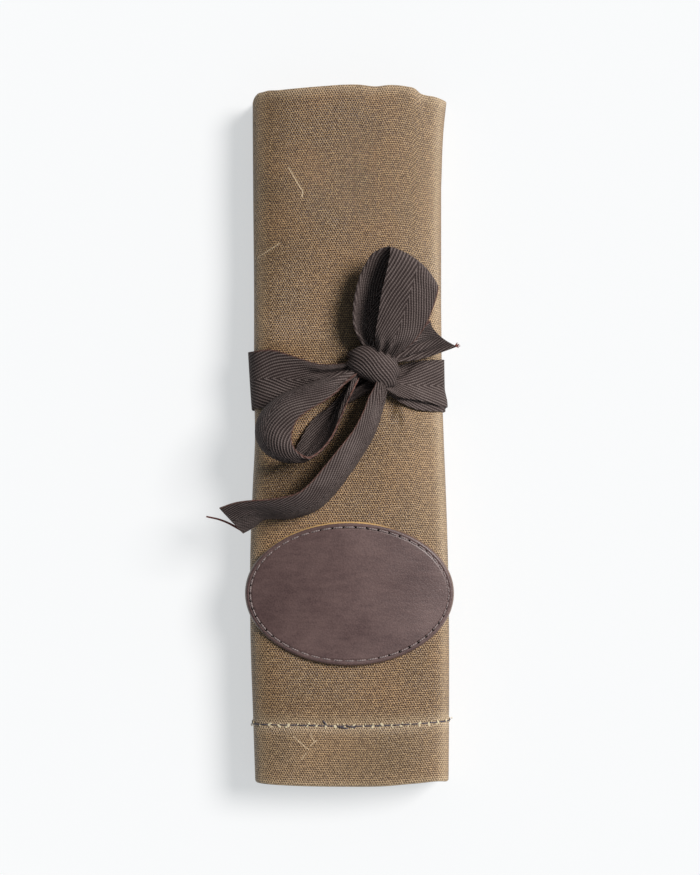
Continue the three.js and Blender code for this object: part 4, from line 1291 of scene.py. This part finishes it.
class ROLL_OT_inside(bpy.types.Operator):
    """Inside of the roll: backing, pocket cloth, leaf and top flap"""

    bl_idname = "roll.inside"
    bl_label = "Pockets, leaf and flap"

    def execute(self, context):
        sizes, _ = sizes_and_colours()
        line = [(x, BACKING_HEIGHT) for x in np.linspace(*BACKING_SIDES, 24)]
        plain = [(y, 0.0) for y in np.linspace(*BACKING_ENDS, 60)]
        backing, face = section_sheet(
            "pocket_backing", line, plain, BACKING_WALL, "pocket_canvas", (0.0, 1.0)
        )
        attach(backing, "back")
        self.pockets(sizes)
        fold = WALL_X + WALL_RADIUS
        rise = [(WALL_X, z) for z in (WALL_TOP, 8.0, 9.0)]
        turned = corner(fold, LEAF_HEIGHT - WALL_RADIUS, WALL_RADIUS, 180, 90)
        line = rise + turned + [(x, LEAF_HEIGHT) for x in np.linspace(fold + 1.5, LEAF_EDGE, 24)]
        hemmed = hemmed_rows(sizes.hem / MM)
        leaf, face = section_sheet("canvas_leaf", line, hemmed, sizes.canvas / MM, "canvas", (-0.3, 1.0))
        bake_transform(leaf)
        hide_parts("inner_leaf_panel", "inner_leaf_hem")
        self.flap(sizes)
        return {"FINISHED"}

    def pockets(self, sizes):
        """The pocket cloth: loose pockets, sewn down between them, closed below and open at the mouth."""
        x = np.linspace(*POCKET_SIDES, 91)
        share = (x - x[0]) / (x[-1] - x[0]) * POCKETS
        puff = np.sin(math.pi * (share % 1.0)) ** 0.55
        across = travelled(np.column_stack([x, puff * 6]))
        low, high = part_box("pocket_panel")
        rows = np.linspace(low[1] / MM, high[1] / MM, 90)
        lines, plan = [], []
        for y in rows:
            sag = 1 - 0.12 * np.sin(y / 21.0 + x / 9.0)
            height = POCKET_FOOT + POCKET_PUFF * puff * eased(y, rows[0], rows[0] + 26) * sag
            lines.append(np.column_stack([x, np.full(len(x), y), height]))
            plan.append(np.column_stack([across, np.full(len(x), y)]))
        face = np.array(lines)
        cloth = finish_named(CLOTH["pocket_canvas"])
        pockets = thick_sheet("pocket_cloth", face, np.array(plan), sizes.lining / MM, cloth, (0.0, 0.0, 1.0))
        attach(pockets, "back")
        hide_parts("pocket_panel")

    def flap(self, sizes):
        """The top flap: it turns over the back's top edge and slopes to its tip over the pocket mouths."""
        low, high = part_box("top_flap_panel")
        tip = low[1] / MM
        under = [(y, FLAP_FOOT) for y in np.linspace(FLAP_START, FLAP_FOLD, 5)]
        turned = corner(FLAP_FOLD, FLAP_RADIUS + FLAP_FOOT, FLAP_RADIUS, -75, 70)
        back = np.linspace(1.5, FLAP_FOLD - tip, 20)
        slope = [(FLAP_FOLD - d, FLAP_HEIGHT + d * FLAP_SLOPE) for d in back]
        line = np.array(under + turned + slope)
        y = line[:, 0]
        taper = FLAP_TAPER * eased(-y, -FLAP_FOLD, -tip) * (np.arange(len(line)) >= len(under))
        wall = sizes.canvas / MM + FLAP_SIDE_GAP
        left = np.maximum(low[0] / MM, wall - through(LEFT_SIDE, y)) + taper
        right = np.minimum(high[0] / MM, through(RIGHT_SIDE, y) - wall) - taper
        x = left[:, None] + (right - left)[:, None] * np.linspace(0, 1, 40)
        past = np.minimum(0, through(TOP_END, x) - FLAP_CLEAR - FLAP_FOLD)
        drawn_in = past * eased(y, *FLAP_DRAWN_IN)[:, None]
        face = np.stack(np.broadcast_arrays(x, y[:, None] + drawn_in, line[:, 1:]), axis=-1)
        plan = np.stack(np.broadcast_arrays(x, travelled(line)[:, None]), axis=-1)
        ahead = unit(np.gradient(line, axis=0))
        away = np.column_stack([np.zeros(len(line)), ahead[:, 1], -ahead[:, 0]])[:, None]
        canvas = finish_named(CLOTH["canvas"])
        flap = thick_sheet("canvas_top_flap", face, plan, sizes.canvas / MM, canvas, away)
        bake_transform(flap)
        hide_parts("top_flap_panel")


def hem_surface(start, end):
    """The line of the hem's stitches between two distances along the section."""

    def surface(share):
        """Points and directions at shares of the line."""
        s = start + (end - start) * np.asarray(share, float)
        return roll_point(s, hem_line(roll_flat(s)[:, 0])), roll_outward(s)

    return surface


def needle_marks(holes):
    """Middles and shapes of the hem's needle marks: first all the large ones, then all the small ones.

    Sines that don't keep step with the stitches make them uneven."""
    k = np.arange(len(holes))
    none = np.zeros(len(holes))
    side = np.sin(4.3 * k)
    turn = MARK_TURN * np.sin(2.3 * k)
    at_hole = holes + np.column_stack([none, LARGE_MARK_SHIFT * side, none])
    long, long_spread, wide, wide_spread = LARGE_MARK
    large = [long + long_spread * np.sin(5.1 * k), wide + wide_spread * np.sin(3.7 * k + 1), turn]
    across, along = SMALL_MARK_SHIFT
    beside = holes + np.column_stack([across * np.sin(1.9 * k), -along * np.sign(side), none])
    long, long_spread, wide, wide_spread = SMALL_MARK
    small = [long + long_spread * np.sin(3.1 * k), wide + wide_spread * np.sin(2.7 * k), -turn]
    return np.concatenate([at_hole, beside]), np.concatenate([np.column_stack(large), np.column_stack(small)])


def edge_surface(share):
    """The line of the free edge's stitches, up the roll's left side."""
    s = along_left(EDGE_STITCH_HEIGHT)
    y = EDGE_STITCH_Y * (2 * np.asarray(share, float) - 1)
    return roll_point(s, y), np.broadcast_to(roll_outward(s), (len(y), 3))


class ROLL_OT_seams(bpy.types.Operator):
    """Rows of stitches in the canvas, and the pale marks of the needle along the hem"""

    bl_idname = "roll.seams"
    bl_label = "Stitches"

    def execute(self, context):
        split, foot = along_top(EDGE_SEAM_X), along_left(EDGE_FOOT + 1)
        right, left = metres(RIGHT_FOLD), metres(LEFT_FOLD)
        self.hem("", 1.5, split, ("right_side", "front", *right), "front_hem_stitch")
        self.hem("_edge", split + 0.3, foot, ("front", "left_edge", *left))
        self.repair()
        self.inner()
        return {"FINISHED"}

    def hem(self, suffix, start, end, fold, *nodes):
        """The hem's thread between two distances along the section, and bare cotton at its needle holes."""
        line = hem_surface(start, end)
        thread, holes, outward = seam("hem_thread" + suffix, line, HEM_THREAD_RISE, HEM_THREAD_DEPTH)
        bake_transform(thread)
        if nodes:
            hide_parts(*nodes)
        centres, shapes = needle_marks(holes)
        away = np.concatenate([outward, outward])
        cotton = finish_named("bare_cotton")
        marks = discs("hem_needle_marks" + suffix, centres, away, shapes, cotton, MARK_LIFT)
        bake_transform(marks)

    def repair(self):
        """The doubled stitches where the hem's thread starts and ends, and its loose end."""
        low, high = DOUBLE_STITCH_RISE
        for k, (start, end) in enumerate(DOUBLE_STITCHES):
            x, y = np.linspace(start, end, 14).T
            up = low + high * np.sin(np.linspace(0, math.pi, 14)) ** 0.5
            path = np.column_stack([x, y, front_height(x, y) + up])
            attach(canvas_thread(f"hem_thread_double_{k + 1}", path), "front")
        x, y = np.linspace(*THREAD_END, 8).T
        path = np.column_stack([x, y, front_height(x, y) + THREAD_END_RISE])
        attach(canvas_thread("hem_thread_end", path), "front")

    def inner(self):
        """Stitches of the free edge, back hem, leaf, flap and pockets."""
        up, down = (0.0, 0.0, 1.0), (0.0, 0.0, -1.0)
        low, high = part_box("top_flap_stitch")
        y = low[1] / MM + 1
        z = FLAP_HEIGHT + (FLAP_FOLD - y) * FLAP_SLOPE
        flap = straight(*[(x / MM, y, z) for x in (low[0], high[0])], up)
        leaf = straight(*[(x, INNER_HEM_Y, LEAF_HEIGHT) for x in LEAF_SEAM], up)
        back = straight(*[(x, INNER_HEM_Y, BACK_SEAM_HEIGHT) for x in BACK_SEAM], down)
        rows = [
            ("leaf_thread", leaf, "inner_leaf", "inner_leaf_stitch"),
            ("flap_thread", flap, "flap", "top_flap_stitch"),
            ("back_thread", back, "back", "back_hem_stitch"),
        ]
        for side, x in zip(("left", "right"), np.linspace(*POCKET_SIDES, POCKETS + 1)[1:-1]):
            line = straight(*[(x, y, POCKET_FOOT) for y in POCKET_SEAM_ENDS], up)
            rows.append((f"pocket_thread_{side}", line, "back", f"pocket_seam_{side}"))
        thread, _, _ = seam("edge_thread", edge_surface, rise=-0.05)
        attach(thread, "left_edge")
        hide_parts("left_edge_stitch")
        for name, surface, body, node in rows:
            thread, _, _ = seam(name, surface)
            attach(thread, body)
            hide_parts(node)


def right_band_folds(x, v):
    """The right band's ridge beside the knot with a dip above it, and its lower edge, folded under."""
    ridge = 0.1 + 0.8 * eased(x, 17, 30)
    dip = -RIGHT_BAND_DIP * (1 - eased(x, 22, 32)) * eased(v - ridge, 0, 0.25)
    line = through(RIGHT_BAND_FOLD, x)
    upper = eased(v - line, -0.02, 0.02) * (1 - eased(v - line, 0.15, 0.8))
    return dip + FOLDED_EDGE_RISE * upper * eased(x, 8, 15) * (1 - 0.6 * eased(x, 30, 37))


def left_band_folds(x, v):
    """The left band's upper edge stands off the roll at its left side."""
    return LEFT_BAND_RISE * eased(-x, 31, 37.4) * (v + 1) / 2


class ROLL_OT_tie(bpy.types.Operator):
    """Tape round the roll, from the free edge under the knot and round the right side to the back"""

    bl_idname = "roll.tie"
    bl_label = "Tie round the roll"

    def execute(self, context):
        sizes, _ = sizes_and_colours()
        stations = [(0.0, *RIGHT_BAND_SIDE)] + [(along_top(x), *rest) for x, *rest in RIGHT_BAND]
        right = tape_band("tape_right_band", stations, sizes, red_edge=0, folds=right_band_folds)
        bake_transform(right)
        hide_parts("tie_right_strand", "tie_right_side_strap")
        stations = [(along_top(x), *rest) for x, *rest in LEFT_BAND]
        stations.append((along_left(LEFT_BAND_FOOT), *LEFT_BAND_END))
        left = tape_band("tape_left_band", stations, sizes, red_edge=1, folds=left_band_folds)
        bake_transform(left)
        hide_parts("tie_left_strand", "tie_left_side_strap")
        stations = [(ROUND * share + past, *rest) for share, past, *rest in BACK_BAND]
        stations.append((ROUND, *RIGHT_BAND_SIDE))
        back = tape_band("tape_back_band", stations, sizes, reverse=True)
        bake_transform(back)
        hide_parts("tie_back_strap")
        return {"FINISHED"}


class ROLL_OT_bow(bpy.types.Operator):
    """Bow: knot, upper loop with the short tail, lower loop and long tail"""

    bl_idname = "roll.bow"
    bl_label = "Knot, loops and tails"

    def execute(self, context):
        sizes, _ = sizes_and_colours()
        pieces = (
            ("tape_knot", KNOT_WRAP, "front", "tie_knot", {"one_half": -66.0, "flat": 0.6}),
            ("tape_upper_loop", UPPER_LOOP, "upper_bow", "upper_loop", {"reverse": True, "red_edge": 1}),
            ("tape_short_tail", SHORT_TAIL, "upper_bow", "short_tail", {"cut": 1.6}),
            ("tape_lower_loop", LOWER_LOOP, "lower_bow", "lower_loop", {}),
            ("tape_long_tail", LONG_TAIL, "tail", "long_tail", {}),
        )
        for name, stations, body, node, options in pieces:
            piece = free_tape(name, stations, sizes, **options)
            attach(piece, body)
            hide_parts(node)
        fray = finish_named("frayed_cotton")
        places = np.arange(len(LOOSE_THREAD))
        steps = np.linspace(0, places[-1], 40)
        route = [through(np.column_stack([places, line]), steps) for line in np.transpose(LOOSE_THREAD)]
        radius = np.linspace(*LOOSE_RADIUS, 40)
        thread = thread_line("tail_loose_thread", np.column_stack(route), radius, fray)
        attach(thread, "tail")
        for k, reach in enumerate(FRAY):
            path = np.array(FRAY_START) + np.outer(np.linspace(0, 1, 6), reach)
            radius = np.linspace(*FRAY_RADIUS, 6)
            thread = thread_line(f"short_tail_fray_{k + 1}", path, radius, fray, sides=6)
            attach(thread, "upper_bow")
        return {"FINISHED"}


def patch_foot(x):
    """Height of the leather's underside."""
    return PATCH_FOOT - PATCH_BEND * (np.asarray(x, float) / SECTION_HALF_WIDTH) ** 2


def oval_ring(a, b, turn, inset, height):
    """Points of the oval at turns around it, a distance in from its edge and a height over its underside."""
    x = PATCH_CENTRE[0] + (a - inset) * np.cos(turn)
    y = PATCH_CENTRE[1] + (b - inset) * np.sin(turn)
    return np.column_stack([x, y, patch_foot(x) + height])


def leather_oval(name, a, b, thick):
    """The oval in rings from its middle: face, stitch groove, rounded rim, cut edge and underside.

    Each ring holds its distance in from the edge and its height over the face."""
    inner = [(d, 0.0) for d in (22, 17, 12, 8, 5, 3.6, 3.0)]
    steps = (2, 1, 0, -1, -2)
    groove = [(PATCH_STITCH_INSET + k * 0.3, -GROOVE_DEPTH * math.cos(k * math.pi / 4)) for k in steps]
    rim = [(1.2, 0.02), (0.9, -0.03), (0.62, -0.16), (0.46, -0.4)]
    edge = [(0.42, -0.46), (0.1, -1.3), (0.0, -1.7), (0.05, 0.35 - thick), (0.4, -thick)]
    under = [(d, -thick) for d in (5, 12, 20)]
    rings = inner + groove + rim + edge + under
    count = 160
    turn = np.linspace(0, 2 * math.pi, count, endpoint=False)
    # The cut edge's tan is painted bright at the top, where the edge faces the light, and held dark elsewhere
    # as painted shade
    shown = 0.1 + 0.9 * eased(np.cos(turn - math.radians(105)), 0.7, 0.93)
    points, cut = [], []
    for ring in rings:
        inset, drop = ring
        worn = 0.12 * np.sin(3 * turn + 0.7) * eased(-inset, -12, -0.2)
        points += [*oval_ring(a, b, turn, inset, thick + drop + worn)]
        cut += [*(shown * (1.0 if ring in edge else 0.3 if ring == rim[-1] else 0.0))]
    faces = []
    for r in range(len(rings) - 1):
        for c in range(count):
            here, beside = r * count + c, r * count + (c + 1) % count
            faces.append((here, here + count, beside + count, beside))
    top, bottom = len(points), len(points) + 1
    x, y = PATCH_CENTRE
    points += [np.array((x, y, patch_foot(x) + thick)), np.array((x, y, patch_foot(x)))]
    last = (len(rings) - 1) * count
    faces += [(top, c, (c + 1) % count) for c in range(count)]
    faces += [(bottom, last + (c + 1) % count, last + c) for c in range(count)]
    points = np.array(points)
    marks = {"cut_edge": cut + [0.0, 0.0]}
    return new_piece(name, points, faces, finish_named("waxed_leather"), points[:, :2], marks)


class ROLL_OT_leather(bpy.types.Operator):
    """Leather oval with its cut edge, and the thread that sews it to the front"""

    bl_idname = "roll.leather"
    bl_label = "Leather oval"

    def execute(self, context):
        sizes, _ = sizes_and_colours()
        a, b = sizes.patch_width / MM / 2, sizes.patch_height / MM / 2
        thick = sizes.leather / MM
        oval = leather_oval("leather_oval", a, b, thick)
        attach(oval, "front")
        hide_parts("leather_patch")

        def line(share):
            """Points and directions of the stitch groove at shares of the way round."""
            turn = 2 * math.pi * np.asarray(share)
            points = oval_ring(a, b, turn, PATCH_STITCH_INSET, thick - GROOVE_DEPTH)
            return points, np.broadcast_to((0.0, 0.0, 1.0), points.shape)

        path, holes, outward = sewn(line, sizes.patch_stitch / MM, SADDLE_RISE, SADDLE_DEPTH)
        finish = finish_named("saddle_thread")
        thread = thread_line("leather_thread", path[:-1], sizes.saddle_thread / MM / 2, finish, closed=True)
        holes, outward = holes[:-1], outward[:-1]
        ahead = np.roll(holes, -1, axis=0) - np.roll(holes, 1, axis=0)
        long = 1.0 + 0.14 * np.sin(3.1 * np.arange(len(holes)))
        shapes = np.column_stack([long, np.full(len(holes), 0.6), np.arctan2(ahead[:, 0], -ahead[:, 1])])
        # Dark discs at the holes: painted shade inside the punched holes
        hole_shades = discs("leather_hole_shades", holes, outward, shapes, finish_named("painted_hole_shade"), HOLE_SHADE_LIFT)
        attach(hole_shades, "front")
        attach(thread, "front")
        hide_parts("patch_stitch")
        return {"FINISHED"}


class ROLL_PT_pieces(bpy.types.Panel):
    """Lists the roll's pieces, sizes and colours"""

    bl_idname = "ROLL_PT_pieces"
    bl_label = "Utensil roll"
    bl_space_type = "VIEW_3D"
    bl_region_type = "UI"
    bl_category = "Roll"

    def draw(self, context):
        for made in OPERATORS:
            self.layout.operator(made.bl_idname)
        for group in (context.scene.roll_sizes, context.scene.roll_colours):
            box = self.layout.box()
            for key in group.__annotations__:
                box.prop(group, key)


OPERATORS = (
    ROLL_OT_stage, ROLL_OT_front, ROLL_OT_back, ROLL_OT_inside, ROLL_OT_seams, ROLL_OT_tie, ROLL_OT_bow,
    ROLL_OT_leather,
)
CLASSES = (RollSizes, RollColours, *OPERATORS, ROLL_PT_pieces)


def register():
    """Registers the classes and puts the sizes and colours on the scene."""
    for made in CLASSES:
        bpy.utils.register_class(made)
    bpy.types.Scene.roll_sizes = bpy.props.PointerProperty(type=RollSizes)
    bpy.types.Scene.roll_colours = bpy.props.PointerProperty(type=RollColours)


def unregister():
    """Takes back what register did."""
    del bpy.types.Scene.roll_colours
    del bpy.types.Scene.roll_sizes
    for made in reversed(CLASSES):
        bpy.utils.unregister_class(made)


def main():
    """Makes the roll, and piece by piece."""
    register()
    bpy.ops.roll.stage()
    bpy.ops.roll.front()
    bpy.ops.roll.back()
    bpy.ops.roll.inside()
    bpy.ops.roll.seams()
    bpy.ops.roll.tie()
    bpy.ops.roll.bow()
    bpy.ops.roll.leather()


if __name__ == "__main__":
    main()
